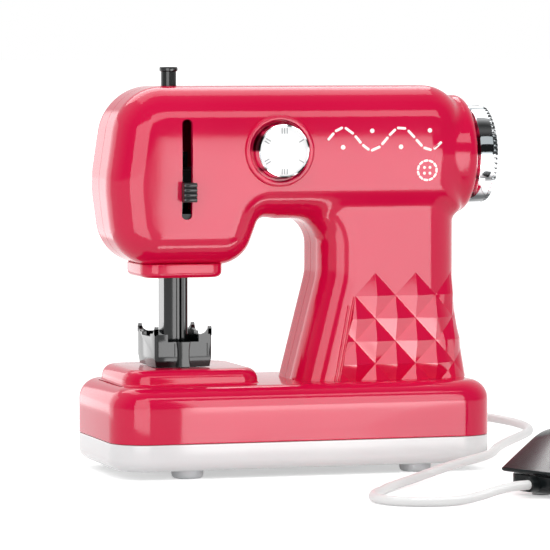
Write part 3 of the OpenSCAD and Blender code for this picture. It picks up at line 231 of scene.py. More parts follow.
SLOT_LOOKS = {
    "pink_plastic": PINK, "white_plastic": WHITE, "black_plastic": BLACK, "grey_plastic": GREY,
    "chrome": CHROME, "steel": STEEL, "brass": BRASS, "soft_foot": RUBBER, "cord_sheath": CORD,
    "cell_wrap": WRAP,
}
NODE_SLOTS = {row["node"]: row["material_slot"] for row in frame["record"]["subparts"]}
for node_name, node_object in frame["nodes"].items():
    node_object.data.materials.clear()
    node_object.data.materials.append(SLOT_LOOKS[NODE_SLOTS[node_name]])


# Mesh helpers, all in millimetres

def new_piece(name, bm, material, body, nodes=(), smooth=40):
    """Turns a bmesh in millimetres into a named piece that rides on a body."""
    bmesh.ops.recalc_face_normals(bm, faces=bm.faces)
    bmesh.ops.scale(bm, vec=(MM, MM, MM), verts=bm.verts)
    mesh = bpy.data.meshes.new(name)
    bm.to_mesh(mesh)
    bm.free()
    mesh.materials.append(material)
    mesh.shade_smooth()
    mesh.set_sharp_from_angle(angle=math.radians(smooth))
    piece = bpy.data.objects.new(name, mesh)
    scene.collection.objects.link(piece)
    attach(piece, body)
    if nodes:
        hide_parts(*nodes)
    return piece


def rounded(outline, inset=0.0, steps=10):
    """Anticlockwise outline of [x, y, corner radius] points, moved inwards, with round corners."""
    points, least_radius = [], 0.4
    count = len(outline)
    for i in range(count):
        here = np.array(outline[i][:2], float)
        before = here - np.array(outline[i - 1][:2], float)
        after = np.array(outline[(i + 1) % count][:2], float) - here
        before /= np.linalg.norm(before)
        after /= np.linalg.norm(after)
        side = np.array([-before[1], before[0]])
        next_side = np.array([-after[1], after[0]])
        mitre = (side + next_side) / (1 + side @ next_side)
        bend = math.acos(max(-1, min(1, before @ after)))
        sign = 1 if before[0] * after[1] - before[1] * after[0] > 0 else -1
        radius = outline[i][2] - sign * inset
        radius = max(radius, least_radius) if sign > 0 else radius
        centre = here + inset * mitre + sign * radius * mitre
        for k in range(steps + 1):
            a = sign * bend * k / steps
            turned = np.array([side[0] * math.cos(a) - side[1] * math.sin(a),
                               side[0] * math.sin(a) + side[1] * math.cos(a)])
            points.append(centre - sign * radius * turned)
    return points


def rectangle(length, width, r, x=0.0, y=0.0):
    """Outline for rounded(), round the centre x, y."""
    return [[x - length / 2, y - width / 2, r], [x + length / 2, y - width / 2, r],
            [x + length / 2, y + width / 2, r], [x - length / 2, y + width / 2, r]]


def add_loft(bm, rings, cap=True):
    """Skin through rings with equal counts, closed round each ring."""
    rows = [[bm.verts.new(p) for p in ring] for ring in rings]
    count = len(rows[0])
    for low, high in zip(rows, rows[1:]):
        for i in range(count):
            j = (i + 1) % count
            bm.faces.new((low[i], low[j], high[j], high[i]))
    if cap:
        bm.faces.new(list(reversed(rows[0])))
        bm.faces.new(rows[-1])


def arc(start, end, steps=8):
    """Angles in radians from start to end in degrees."""
    return [math.radians(start + (end - start) * k / steps) for k in range(steps + 1)]


def soft_levels(bottom, top, bottom_r, top_r, steps=8):
    """(inset, z) levels of a box with rounded bottom and top edges."""
    turns = arc(0, 90, steps)
    low = [(bottom_r * (1 - math.sin(t)), bottom + bottom_r * (1 - math.cos(t))) for t in turns]
    high = [(top_r * (1 - math.cos(t)), top - top_r * (1 - math.sin(t))) for t in turns]
    return low + high


def add_soft_box(bm, outline, levels, steps=10):
    add_loft(bm, [[(p[0], p[1], z) for p in rounded(outline, inset, steps)] for inset, z in levels])


def add_lathe(bm, profile, origin, axis, count=96, ripple=None, cap=True):
    """Turns (radius, height) points round an axis; ripple may change the radius by the angle."""
    along = Vector(axis).normalized()
    across = along.orthogonal().normalized()
    over = along.cross(across)
    rings = []
    for radius, height in profile:
        ring = []
        for k in range(count):
            a = 2 * math.pi * k / count
            r = ripple(radius, height, a) if ripple else radius
            out = (across * math.cos(a) + over * math.sin(a)) * r
            ring.append(Vector(origin) + along * height + out)
        rings.append(ring)
    add_loft(bm, rings, cap)


def add_box(bm, low, high):
    corners = [Vector((x, y, z)) for z in (low[2], high[2]) for x, y in
               ((low[0], low[1]), (high[0], low[1]), (high[0], high[1]), (low[0], high[1]))]
    v = [bm.verts.new(c) for c in corners]
    for loop in ((3, 2, 1, 0), (4, 5, 6, 7), (0, 1, 5, 4), (1, 2, 6, 5),
                 (2, 3, 7, 6), (3, 0, 4, 7)):
        bm.faces.new([v[i] for i in loop])


def add_tube(bm, points, radius, sides=10):
    """Round bead along points."""
    points = [Vector(p) for p in points]
    rings = []
    for i, point in enumerate(points):
        along = (points[min(i + 1, len(points) - 1)] - points[max(i - 1, 0)]).normalized()
        across = along.cross(Vector((0, 1, 0))).normalized()
        over = across.cross(along)
        turns = [2 * math.pi * k / sides for k in range(sides)]
        rings.append([point + (across * math.cos(a) + over * math.sin(a)) * radius for a in turns])
    add_loft(bm, rings)


def bevel(piece, width, segments=2, angle=35):
    """Rounds a piece's sharp edges with a modifier."""
    changed = piece.modifiers.new("edges", "BEVEL")
    changed.width = width * MM
    changed.segments = segments
    changed.limit_method = "ANGLE"
    changed.angle_limit = math.radians(angle)
    changed.harden_normals = True


def cut(piece, fill):
    """Cuts the solids that fill(bm) draws, in millimetres, out of a piece."""
    bm = bmesh.new()
    fill(bm)
    bmesh.ops.recalc_face_normals(bm, faces=bm.faces)
    bmesh.ops.scale(bm, vec=(MM, MM, MM), verts=bm.verts)
    mesh = bpy.data.meshes.new("cutter")
    bm.to_mesh(mesh)
    bm.free()
    tool = bpy.data.objects.new("cutter", mesh)
    scene.collection.objects.link(tool)
    change = piece.modifiers.new("cut", "BOOLEAN")
    change.operation = "DIFFERENCE"
    change.solver = "EXACT"
    change.object = tool
    bpy.context.view_layer.update()
    evaluated = piece.evaluated_get(bpy.context.evaluated_depsgraph_get())
    shape = bpy.data.meshes.new_from_object(evaluated)
    piece.modifiers.remove(change)
    old = piece.data
    piece.data = shape
    bpy.data.meshes.remove(old)
    bpy.data.objects.remove(tool)
    bpy.data.meshes.remove(mesh)


# Smooth solids from distance fields

def polygon_distance(outline, x, z):
    """Distance from a closed outline, less than zero inside it."""
    best = np.full(x.shape, np.inf)
    inside = np.zeros(x.shape, bool)
    for i in range(len(outline)):
        (ax, az), (bx, bz) = outline[i], outline[i - 1]
        ex, ez, wx, wz = bx - ax, bz - az, x - ax, z - az
        t = np.clip((wx * ex + wz * ez) / (ex * ex + ez * ez), 0, 1)
        best = np.minimum(best, (wx - ex * t) ** 2 + (wz - ez * t) ** 2)
        above, below, left = z >= az, z < bz, ex * wz > ez * wx
        inside ^= (above & below & left) | (~above & ~below & ~left)
    return np.where(inside, -1, 1) * np.sqrt(best)


def round_pair(a, b, r):
    """What two distances have in common, with its edge rounded."""
    return np.minimum(np.maximum(a, b), 0) + np.hypot(np.maximum(a, 0), np.maximum(b, 0)) - r


def blend_pair(a, b, reach):
    """Two distances joined, with a fillet between them."""
    h = np.maximum(reach - np.abs(a - b), 0) / reach
    return np.minimum(a, b) - h * h * reach / 4


def net_surface(field, low, high, pitch):
    """Quads on the zero surface of field(x, y, z), with every point brought onto it."""
    axes = [np.arange(low[i], high[i] + pitch, pitch) for i in range(3)]
    value = field(*np.meshgrid(*axes, indexing="ij"))
    inside = value < 0
    shape = np.array(value.shape) - 1
    total = np.zeros((*shape, 3))
    count = np.zeros(shape, int)
    corner = [(i, j, k) for i in (0, 1) for j in (0, 1) for k in (0, 1)]

    def at(array, c):
        return array[c[0]:c[0] + shape[0], c[1]:c[1] + shape[1], c[2]:c[2] + shape[2]]

    for a in corner:
        for axis in range(3):
            if a[axis]:
                continue
            b = tuple(v + (n == axis) for n, v in enumerate(a))
            va, vb = at(value, a), at(value, b)
            crossed = at(inside, a) != at(inside, b)
            t = np.where(crossed, va / np.where(crossed, va - vb, 1), 0)
            for n in range(3):
                total[..., n] += np.where(crossed, a[n] + (t if n == axis else 0), 0)
            count += crossed
    used = count > 0
    number = np.full(shape, -1)
    number[used] = np.arange(used.sum())
    cell = np.argwhere(used)
    points = np.array(low) + (cell + total[used] / count[used][:, None]) * pitch
    quads = []
    for axis in range(3):
        u, v = [n for n in range(3) if n != axis]
        first, second = [slice(None)] * 3, [slice(None)] * 3
        first[axis], second[axis] = slice(0, -1), slice(1, None)
        place = np.argwhere(inside[tuple(first)] != inside[tuple(second)])
        for n in (u, v):
            place = place[(place[:, n] > 0) & (place[:, n] < shape[n])]
        ring = []
        for du, dv in ((-1, -1), (0, -1), (0, 0), (-1, 0)):
            spot = place.copy()
            spot[:, u] += du
            spot[:, v] += dv
            ring.append(number[tuple(spot.T)])
        quads += np.stack(ring, 1).tolist()
    step, rounds, least_slope = 0.02, 2, 0.2
    for _ in range(rounds):
        here = field(*points.T)
        rise = [field(*(points + shift).T) - here for shift in step * np.eye(3)]
        slope = np.stack(rise, 1) / step
        move = here / np.maximum((slope ** 2).sum(1), least_slope)
        points = points - slope * move[:, None]
    return points, quads


ARM = rounded([[-63, 72, 16], [-18, 72, 12.5], [-12, 88, 3], [62, 88, 4], [62, 133.5, 14],
               [-61.5, 133.5, 18], [-66.5, 100, 40]], steps=30)
SINK, LEAN_LEFT, LEAN_RIGHT = 14, 9.4 / 36.5, 5 / 28.5
COLUMN = rounded([[0.6 - SINK * LEAN_LEFT, BASE_TOP - SINK, 0.4],
                  [64.5 + SINK * LEAN_RIGHT, BASE_TOP - SINK, 0.4],
                  [59.5, 60, 24], [59.5, 115.5, 3], [-8, 115.5, 3], [-8, 88, 3],
                  [10, 88, 10], [10, 68, 20]], steps=20)
CLEAR_Y = 30.0  # a depth outside the casing
HALVINGS = 24


def in_plane(outline, x, z):
    """Distance from an outline, worked out once for every depth where x and z are a grid."""
    if x.ndim == 3:
        return polygon_distance(outline, x[:, 0, :], z[:, 0, :])[:, None, :]
    return polygon_distance(outline, x, z)


def casing_field(x, y, z, inset=0.0):
    """Arm, column and wheel flange with rounded edges, and a slight crown on the arm's faces."""
    crown, crown_reach, crown_limit = 0.45, 14, 1.4
    lip, flange_r, flange_start, flange_x = 3.5, 20.8, 49, 65.5
    column_blend, flange_blend, under_top = 2.2, 1.6, 3
    half = ARM_HALF - crown * np.clip(np.abs(z - SHAFT_Z) / crown_reach, 0, crown_limit) ** 2
    arm = round_pair(in_plane(ARM, x, z) + EDGE_R, np.abs(y) - (half - EDGE_R), EDGE_R)
    column = round_pair(in_plane(COLUMN, x, z) + EDGE_R, np.abs(y) - (COLUMN_HALF - EDGE_R), EDGE_R)
    ring = round_pair(np.hypot(y, z - SHAFT_Z) - (flange_r - lip), x - (flange_x - lip), lip)
    ring = np.maximum(ring, flange_start - x)
    body = blend_pair(blend_pair(arm, column, column_blend), ring, flange_blend) + inset
    return np.maximum(body, BASE_TOP - under_top + inset / 2 - z)


def front_y(x, z):
    """Front surface of the casing at places along X and Z, by halving."""
    outside, inside = np.full(x.shape, -CLEAR_Y), np.zeros(x.shape)
    for _ in range(HALVINGS):
        middle = (outside + inside) / 2
        clear = casing_field(x, middle, z) > 0
        outside, inside = np.where(clear, middle, outside), np.where(clear, inside, middle)
    return outside


def trim(bm, point, normal, fill=False):
    """Drops what lies beyond a plane, and closes the cut where fill is set."""
    snap, near = 1e-5, 1e-3

    def on_plane(vert):
        return abs((vert.co - Vector(point)).dot(Vector(normal))) < near

    bmesh.ops.bisect_plane(bm, geom=bm.verts[:] + bm.edges[:] + bm.faces[:], dist=snap,
                           plane_co=point, plane_no=normal, clear_outer=True)
    if fill:
        edges = [e for e in bm.edges if e.is_boundary and all(on_plane(v) for v in e.verts)]
        bmesh.ops.triangle_fill(bm, use_beauty=True, edges=edges, normal=normal)


def casing_half(name, side, node):
    """One half of the casing: its outer and inner skins, cut at the seam and on the base."""
    bm = bmesh.new()
    left, right, bottom, top = -70, 70, 26, 138
    past_seam, past_face, seam_gap = 3, 26, 0.12
    outer_pitch, inner_pitch = 0.9, 2.2
    low, high = sorted((-past_seam * side, past_face * side))
    for pitch, inset in ((outer_pitch, 0.0), (inner_pitch, WALL)):
        points, quads = net_surface(lambda x, y, z: casing_field(x, y, z, inset),
                                    (left, low, bottom), (right, high, top), pitch)
        verts = [bm.verts.new(p) for p in points]
        for quad in quads:
            if min(quad) >= 0:
                bm.faces.new([verts[i] for i in quad])
    trim(bm, (0, seam_gap * side, 0), (0, -side, 0), True)
    trim(bm, (0, 0, BASE_TOP), (0, 0, -1), True)
    return new_piece(name, bm, PINK, "machine", [node], smooth=50)


def add_prism_y(bm, ring, near, far):
    """A ring of (x, z) points drawn out along Y."""
    add_loft(bm, [[(p[0], y, p[1]) for p in ring] for y in (near, far)])


# Casing

SLOT_W, SLOT_H, SLOT_R, SLOT_Z, SLOT_BACK = 3.7, 34.2, 1.6, 105.2, -15
SLOT_RING = rounded(rectangle(SLOT_W, SLOT_H, SLOT_R, SLOT_X, SLOT_Z), steps=8)
SHELL_SCREWS = [(-56, 112, ARM_HALF), (8, 124, ARM_HALF), (52, 121, ARM_HALF),
                (25, 50, COLUMN_HALF), (47.5, 50, COLUMN_HALF)]
SEAT, WELL_R, WELL_SLACK, SCREW_SIDES = 3, 2.8, 0.6, 32
SHELL_SCREW_LEN, TRAY_SCREW_LEN = 24, 10

front = casing_half("casing_front", -1, "front_shell")
rear = casing_half("casing_rear", 1, "rear_shell")
cut(front, lambda bm: add_prism_y(bm, SLOT_RING, -CLEAR_Y, SLOT_BACK))


def add_wells(bm):
    for x, z, half in SHELL_SCREWS:
        profile = [(WELL_R, half - SEAT - WELL_SLACK), (WELL_R, CLEAR_Y)]
        add_lathe(bm, profile, (x, 0, z), (0, 1, 0), SCREW_SIDES)


def screws(name, node, places, axis, reach):
    """Round-headed screws with a cross recess, each from the seat of its head."""
    head = [(1.5, -1.8), (2.1, -1.65), (2.4, -1.3), (2.5, -0.8), (2.5, 0)]
    shank_r, tip_r, tip_len = 1.2, 0.3, 1.2
    shank = [(shank_r, 0.02), (shank_r, reach - tip_len), (tip_r, reach)]
    bm = bmesh.new()
    for place in places:
        add_lathe(bm, head + shank, place, axis, SCREW_SIDES)
    piece = new_piece(name, bm, STEEL, "machine", [node])
    along = Vector(axis)
    across = along.orthogonal().normalized()
    over = along.cross(across)
    arm, half, start, end = 1.35, 0.36, -2.6, -0.9
    cross = [(half, half), (half, arm), (-half, arm), (-half, half), (-arm, half), (-arm, -half),
             (-half, -half), (-half, -arm), (half, -arm), (half, -half), (arm, -half), (arm, half)]

    def add_recess(bm):
        for place in places:
            add_loft(bm, [[Vector(place) + along * depth + across * u + over * v for u, v in cross]
                          for depth in (start, end)])

    cut(piece, add_recess)


def smooth_casing(piece):
    """Takes the shading normals of the outer skin from the distance field."""
    mesh, step, skin_depth, least_match, tiny = piece.data, 0.5, 0.1, 0.8, 1e-6
    places = np.empty(len(mesh.vertices) * 3)
    mesh.vertices.foreach_get("co", places)
    places = places.reshape(-1, 3) / MM
    slope = np.stack([casing_field(*(places + shift).T) - casing_field(*(places - shift).T)
                      for shift in step * np.eye(3)], 1)
    slope /= np.maximum(np.linalg.norm(slope, axis=1), tiny)[:, None]
    skin = np.abs(casing_field(*places.T)) < skin_depth
    corners = np.empty(len(mesh.loops) * 3, np.float32)
    mesh.corner_normals.foreach_get("vector", corners)
    corners = corners.reshape(-1, 3)
    point = np.empty(len(mesh.loops), np.int32)
    mesh.loops.foreach_get("vertex_index", point)
    outer = skin[point] & ((corners * slope[point]).sum(1) > least_match)
    corners[outer] = slope[point][outer]
    mesh.normals_split_custom_set(corners.tolist())


cut(rear, add_wells)
for half_shell in (front, rear):
    smooth_casing(half_shell)
screws("casing_screws", "shell_screws", [(x, half - SEAT, z) for x, z, half in SHELL_SCREWS],
       (0, -1, 0), SHELL_SCREW_LEN)

DIAMOND_W, DIAMOND_H, DIAMOND_RISE, DIAMOND_X, DIAMOND_Z = 14.7, 15.8, 2, 28, 60.8
DIAMOND_ROWS, DIAMOND_COUNT, DIAMOND_LAST_X = 5, 4, 56
DIAMOND_PARTS, DIAMOND_MARGIN, DIAMOND_LIFT, DIAMOND_DEPTH = 6, 0.6, 0.03, 1.4
BORDER_X, BORDER_Z, BORDER_LEAN = 20.65, 60.8, 0.186
BORDER_TOP, BORDER_FOOT = Vector((BORDER_X, 0, BORDER_Z)), Vector((15.2, 0, BASE_TOP))
BEADS, BEAD_R, BEAD_LIFT, BEAD_STEPS = ((0.35, 60.6), (1.75, 57.5)), 0.42, 0.02, 16
PANEL_SINK, BEAD_SINK = 0.3, 0.2


def right_edge(z):
    """Right edge of the column at heights along Z, by halving."""
    within, beyond = 45.0, 80.0
    inside, outside = np.full(z.shape, within), np.full(z.shape, beyond)
    for _ in range(HALVINGS):
        middle = (inside + outside) / 2
        clear = polygon_distance(COLUMN, middle, z) > 0
        inside, outside = np.where(clear, inside, middle), np.where(clear, middle, outside)
    return inside


def add_facet(bm, x0, z0, a, b):
    """One side of the pyramid at x0, z0, between its top and its corners a and b."""
    parts = DIAMOND_PARTS
    grid = [(i, j) for i in range(parts + 1) for j in range(parts + 1 - i)]
    u = np.array([(a[0] * i + b[0] * j) / parts for i, j in grid])
    v = np.array([(a[1] * i + b[1] * j) / parts for i, j in grid])
    z = z0 + v * DIAMOND_H / 2
    x = np.minimum(x0 + u * DIAMOND_W / 2, right_edge(z) - DIAMOND_MARGIN)
    rise = DIAMOND_RISE * (1 - np.abs(u) - np.abs(v))
    y = front_y(x, z) - rise - DIAMOND_LIFT
    verts = {g: bm.verts.new(p) for g, p in zip(grid, zip(x, y, z))}
    for i in range(parts):
        for j in range(parts - i):
            bm.faces.new((verts[i, j], verts[i + 1, j], verts[i, j + 1]))
            if j < parts - i - 1:
                bm.faces.new((verts[i + 1, j], verts[i + 1, j + 1], verts[i, j + 1]))


def add_diamonds(bm):
    """Pyramids set edge to edge on the column's front, bent round its right edge."""
    corners = [(-1, 0), (0, -1), (1, 0), (0, 1)]
    for row in range(DIAMOND_ROWS):
        for k in range(-1 if row > 1 else 0, DIAMOND_COUNT):
            x0 = DIAMOND_X + DIAMOND_W * (k - row % 2 / 2)
            z0 = DIAMOND_Z - row * DIAMOND_H / 2
            if x0 - DIAMOND_W / 2 > DIAMOND_LAST_X:
                continue
            for n in range(4):
                add_facet(bm, x0, z0, corners[n], corners[(n + 1) % 4])
    bmesh.ops.remove_doubles(bm, verts=bm.verts, dist=WELD)
    slope = BORDER_TOP - BORDER_FOOT
    trim(bm, BORDER_FOOT, (-slope.z, 0, slope.x))
    trim(bm, (0, 0, BASE_TOP - PANEL_SINK), (0, 0, -1))
    back = bmesh.ops.extrude_face_region(bm, geom=bm.faces[:], use_keep_orig=True)["geom"]
    bmesh.ops.translate(bm, vec=(0, DIAMOND_DEPTH, 0),
                        verts=[g for g in back if isinstance(g, bmesh.types.BMVert)])


def surface_line(points, out):
    """Points that follow the casing's front at a distance out from it."""
    x, z = np.array(points, float).T
    return [Vector(p) for p in zip(x, front_y(x, z) - out, z)]


bm = bmesh.new()
add_diamonds(bm)
panel = new_piece("diamond_panel", bm, PINK, "machine", smooth=8)
bevel(panel, width=0.1, segments=2, angle=12)
bm = bmesh.new()
for shift, top in BEADS:
    heights = np.linspace(top, BASE_TOP - BEAD_SINK, BEAD_STEPS)
    line = [(BORDER_X - shift - (BORDER_Z - z) * BORDER_LEAN, z) for z in heights]
    add_tube(bm, surface_line(line, BEAD_LIFT), BEAD_R)
new_piece("panel_border", bm, PINK, "machine")


# Base

BASE_OUTLINE = rectangle(BASE_LEN, BASE_DEPTH, BASE_CORNER)
COVER_GAP, COVER_LIP, COVER_EDGE = 0.1, 0.35, 7
TRAY_GAP, TRAY_LIP, TRAY_EDGE = 0.05, 0.3, 4
FILLET_R, FILLET_Z, PLATE_EDGE = 1.2, 1.15, 4
DOOR_LOW, DOOR_HIGH = (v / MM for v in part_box("battery_door"))
DOOR_TAB, DOOR_SLACK, DOOR_ROOF = 6.2, 0.25, 0.05
TAB_START, TAB_HALF, TAB_ROOF = 5, 5.2, 0.04
UNDER_TRAY = 1
TRAY_SCREW_X, TRAY_SCREW_Y, TRAY_SEAT = 57.25, 20.5, 2.2
TRAY_SCREWS = [(x, y, FOOT_H + TRAY_SEAT) for x in (-TRAY_SCREW_X, TRAY_SCREW_X)
               for y in (-TRAY_SCREW_Y, TRAY_SCREW_Y)]
FOOT_X, FOOT_Y = 41, 22.5
FOOT_PROFILE = [(3.9, 0), (4.7, 0.15), (5.2, 0.6), (5.45, 1.3), (5.5, 2), (5.5, 3.2)]
HEAD_X = -39.3
COLLAR_LEN, COLLAR_W, COLLAR_CORNER, COLLAR_LOW, COLLAR_TOP = 29, 28, 6, 67.8, 72.6
COLLAR_EDGE, COLLAR_LIP = 2, 0.5

bm = bmesh.new()
add_soft_box(bm, BASE_OUTLINE,
             soft_levels(SEAM_Z + COVER_GAP, BASE_TOP, COVER_LIP, COVER_EDGE, steps=10), steps=14)
fillet = [(-FILLET_R + FILLET_R * math.sin(t), BASE_TOP + FILLET_Z - FILLET_R * math.cos(t))
          for t in arc(0, 90, 5)]
crown = [(PLATE_EDGE * (1 - math.cos(t)), PLATE_TOP - PLATE_EDGE * (1 - math.sin(t)))
         for t in arc(0, 90, 9)]
add_soft_box(bm, rectangle(PLATE_LEN, PLATE_DEPTH, PLATE_CORNER, PLATE_X), fillet + crown, steps=12)
new_piece("base_cover", bm, PINK, "machine", ["base_top"])

bm = bmesh.new()
add_soft_box(bm, BASE_OUTLINE, soft_levels(FOOT_H, SEAM_Z - TRAY_GAP, TRAY_EDGE, TRAY_LIP), steps=14)
tray = new_piece("tray", bm, WHITE, "machine", ["base_tray"])


def add_door_room(bm):
    add_box(bm, (DOOR_LOW.x - DOOR_SLACK, DOOR_LOW.y - DOOR_SLACK, UNDER_TRAY),
            (DOOR_HIGH.x - DOOR_TAB + DOOR_SLACK, DOOR_HIGH.y + DOOR_SLACK,
             DOOR_HIGH.z + DOOR_ROOF))


def add_tab_room(bm):
    add_box(bm, (DOOR_LOW.x + TAB_START, -TAB_HALF, UNDER_TRAY),
            (DOOR_HIGH.x + DOOR_SLACK, TAB_HALF, DOOR_HIGH.z + TAB_ROOF))


def add_tray_wells(bm):
    for x, y, seat in TRAY_SCREWS:
        add_lathe(bm, [(WELL_R, UNDER_TRAY), (WELL_R, seat)], (x, y, 0), UP, SCREW_SIDES)


cut(tray, add_door_room)
cut(tray, add_tab_room)
cut(tray, add_tray_wells)
screws("tray_screws", "base_screws", TRAY_SCREWS, UP, TRAY_SCREW_LEN)
bevel(frame["nodes"]["battery_door"], width=0.25)

bm = bmesh.new()
for x in (-FOOT_X, FOOT_X):
    for y in (-FOOT_Y, FOOT_Y):
        add_lathe(bm, FOOT_PROFILE, (x, y, 0), UP, count=48)
new_piece("feet", bm, RUBBER, "machine", ["base_feet"])

bm = bmesh.new()
add_soft_box(bm, rectangle(COLLAR_LEN, COLLAR_W, COLLAR_CORNER, HEAD_X),
             soft_levels(COLLAR_LOW, COLLAR_TOP, COLLAR_EDGE, COLLAR_LIP), steps=12)
new_piece("collar", bm, PINK, "machine", ["head_collar"])


# Dial, wheel and take-up lever, each profile as (radius, height)

SEAT_RING_Y, DIAL_Y, WHEEL_X = -20.6, -21.1, 66.1
SEAT_RING = [(12.4, 0), (12.3, 1), (12.0, 1.4), (11.4, 1.55), (10.7, 1.4), (10.4, 1), (10.4, 0)]
RIM_PROFILE = [(9.3, 0), (9.75, 0.12), (9.8, 0.4), (9.75, 1.2), (9.35, 4.4), (9.2, 5.2), (9.0, 5.7),
               (8.85, 5.85), (8.7, 5.8), (8.62, 5.4), (4, 5.4)]
DISC_PROFILE = [(8.56, 5.2), (8.56, 5.5), (8.4, 5.64), (6, 5.74), (2, 5.8)]
WHEEL_PROFILE = [(2.2, 0), (15.6, 0), (16.4, 0.3), (16.9, 0.8), (17.2, 1.2), (17.2, 5.5),
                 (16.9, 5.8), (17.1, 6), (17.1, 6.7), (16.8, 7.2), (16.3, 7.55), (15.6, 7.7),
                 (14.6, 7.75), (13.4, 7.6), (12.6, 7), (12.2, 6.5), (7, 6.5), (6.4, 6.8),
                 (5.8, 7.6), (5, 8), (2, 8.1)]
RIB_PROFILE = [(0.35, -2.4), (0.7, -2.3), (0.85, -2.0), (0.85, 2.0), (0.7, 2.3), (0.35, 2.4)]
RIBS, RIB_PITCH, RIB_Y, RIB_Z = 4, 1.63, 0.75, 0.85
FLUTES, FLUTE_DEPTH, FLUTE_POWER, FLUTED_R, FLUTED_HEIGHT = 60, 0.4, 1.4, 16.2, 5.9
MARK_OUT, MARK_LEN, MARK_W, MARK_BACK, MARK_FRONT = 7.9, 1.9, 0.34, -26.6, -26.93
HOUR_DEGREES = 30
MARKS = {0: (-0.9, 0, 0.9), 2: (-0.5, 0.5), 4: (-0.5, 0.5), 6: (-0.9, 0, 0.9), 8: (0,), 10: (0,)}

bm = bmesh.new()
add_lathe(bm, SEAT_RING + SEAT_RING[:1], (DIAL_X, SEAT_RING_Y, DIAL_Z), FORWARD, cap=False)
bmesh.ops.remove_doubles(bm, verts=bm.verts, dist=WELD)
new_piece("dial_seat_ring", bm, PINK, "machine")

bm = bmesh.new()
add_lathe(bm, RIM_PROFILE, (DIAL_X, DIAL_Y, DIAL_Z), FORWARD, count=144)
new_piece("dial_rim", bm, RIM, "dial", ["dial_knob"])
bm = bmesh.new()
add_lathe(bm, DISC_PROFILE, (DIAL_X, DIAL_Y, DIAL_Z), FORWARD, count=120)
new_piece("dial_disc", bm, FACE, "dial", ["dial_face"])


def add_mark(bm, angle, shift):
    """A stroke near the dial's rim, along its radius."""
    turn = Matrix.Rotation(-angle, 3, "Y")
    left, right, low = shift - MARK_W / 2, shift + MARK_W / 2, MARK_OUT - MARK_LEN
    places = [(left, low), (right, low), (right, MARK_OUT), (left, MARK_OUT)]
    add_loft(bm, [[turn @ Vector((x, 0, z)) + Vector((DIAL_X, y, DIAL_Z)) for x, z in places]
                  for y in (MARK_BACK, MARK_FRONT)])


bm = bmesh.new()
for clock, strokes in MARKS.items():
    for shift in strokes:
        add_mark(bm, math.radians(HOUR_DEGREES * clock), shift)
new_piece("dial_marks", bm, INK, "dial")


def flutes(radius, height, angle):
    """Ribs on the outer edge of the wheel, and nowhere else on it."""
    if radius < FLUTED_R or height < FLUTED_HEIGHT:
        return radius
    return radius - FLUTE_DEPTH * (0.5 + 0.5 * math.cos(FLUTES * angle)) ** FLUTE_POWER


bm = bmesh.new()
add_lathe(bm, WHEEL_PROFILE, (WHEEL_X, 0, SHAFT_Z), (1, 0, 0), count=480, ripple=flutes)
new_piece("wheel", bm, WHEEL, "drive", ["handwheel"])

bevel(frame["nodes"]["take_up_lever"], width=0.5, segments=3, angle=40)
for name in ("take_up_lever", "bar_guide", "yoke", "pedal_gland"):
    frame["nodes"][name].data.materials[0] = MATT
KNOB_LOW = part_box("take_up_lever")[0] / MM
bm = bmesh.new()
for k in range(RIBS):
    add_lathe(bm, RIB_PROFILE, (SLOT_X, KNOB_LOW.y + RIB_Y, KNOB_LOW.z + RIB_Z + RIB_PITCH * k),
              (1, 0, 0), count=24)
new_piece("lever_ribs", bm, BLACK, "needle")


# Presser bar and foot

SHOE_W, SHOE_D, SHOE_LOW, SHOE_TOP, SHOE_WEB, SHOE_WALL = 20.3, 23, 37.1, 48.3, 42.6, 1.6
SHOE_CORNER, SHOE_TAPER, TAPER_TOP = 0.7, 0.55, 40.4
LEFT, RIGHT, FRONT = HEAD_X - SHOE_W / 2, HEAD_X + SHOE_W / 2, -SHOE_D / 2
CLEAR_Z = 54  # a height above the shoe
NOTCH_HALF, NOTCH_Z, NOTCH_FRONT, NOTCH_BACK, SIDE_NOTCH_Z = 5.5, 45.7, -13, -9.7, 47.3
NEEDLE_HOLE = [(2.6, 36), (2.6, 43)]
INLAY_EDGE, INLAY_MIDDLE, INLAY_LOW, INLAY_TOP, INLAY_DEPTH = 1.5, 2.9, 40.7, 45.2, 0.5
FIN = [(0, -0.4), (0, 1.9), (0.2, 2.45), (0.6, 2.65), (1.0, 2.45), (1.3, 1.75), (1.8, 0.9),
       (2.5, 0.35), (3.4, 0.05), (3.4, -0.4)]
FIN_T, FIN_GAP = 1.3, 0.02
PILLAR = [(2.5, SHOE_LOW + 0.05), (2.25, 38.6), (2.05, 40.6), (2.1, 43), (2.45, 45.7)]
PILLAR_D, PILLAR_R, PILLAR_BACK = 2.2, 0.7, 0.1
BAR_SECTION = [(-44, -3.38), (-41.6, -3.8), (-40.1, -3.8), (-40.1, -3.1), (-39.35, -3.1),
               (-39.35, -3.8), (-38.6, -3.8), (-38.6, 3.8), (-44, 3.8)]
BAR_TOP = 121.5
PIN_PROFILE = [(2.7, 120.5), (2.7, 138.4), (3.1, 138.6), (3.2, 138.9), (3.2, 139.6), (3.0, 139.95),
               (2.6, 140), (1.9, 139.9)]

bm = bmesh.new()
add_loft(bm, [[(x, y, z) for x, y in BAR_SECTION] for z in (SHOE_WEB, BAR_TOP)])
add_lathe(bm, PIN_PROFILE, (PRESSER_X, 0, 0), UP, count=64)
new_piece("bar_and_pin", bm, BLACK, "presser", ["presser_bar"], smooth=20)

bm = bmesh.new()
add_soft_box(bm, rectangle(SHOE_W, SHOE_D, SHOE_CORNER, HEAD_X),
             [(SHOE_TAPER, SHOE_LOW), (0, TAPER_TOP), (0, SHOE_TOP)], steps=4)
shoe = new_piece("shoe", bm, BLACK, "presser", ["presser_foot"], smooth=20)


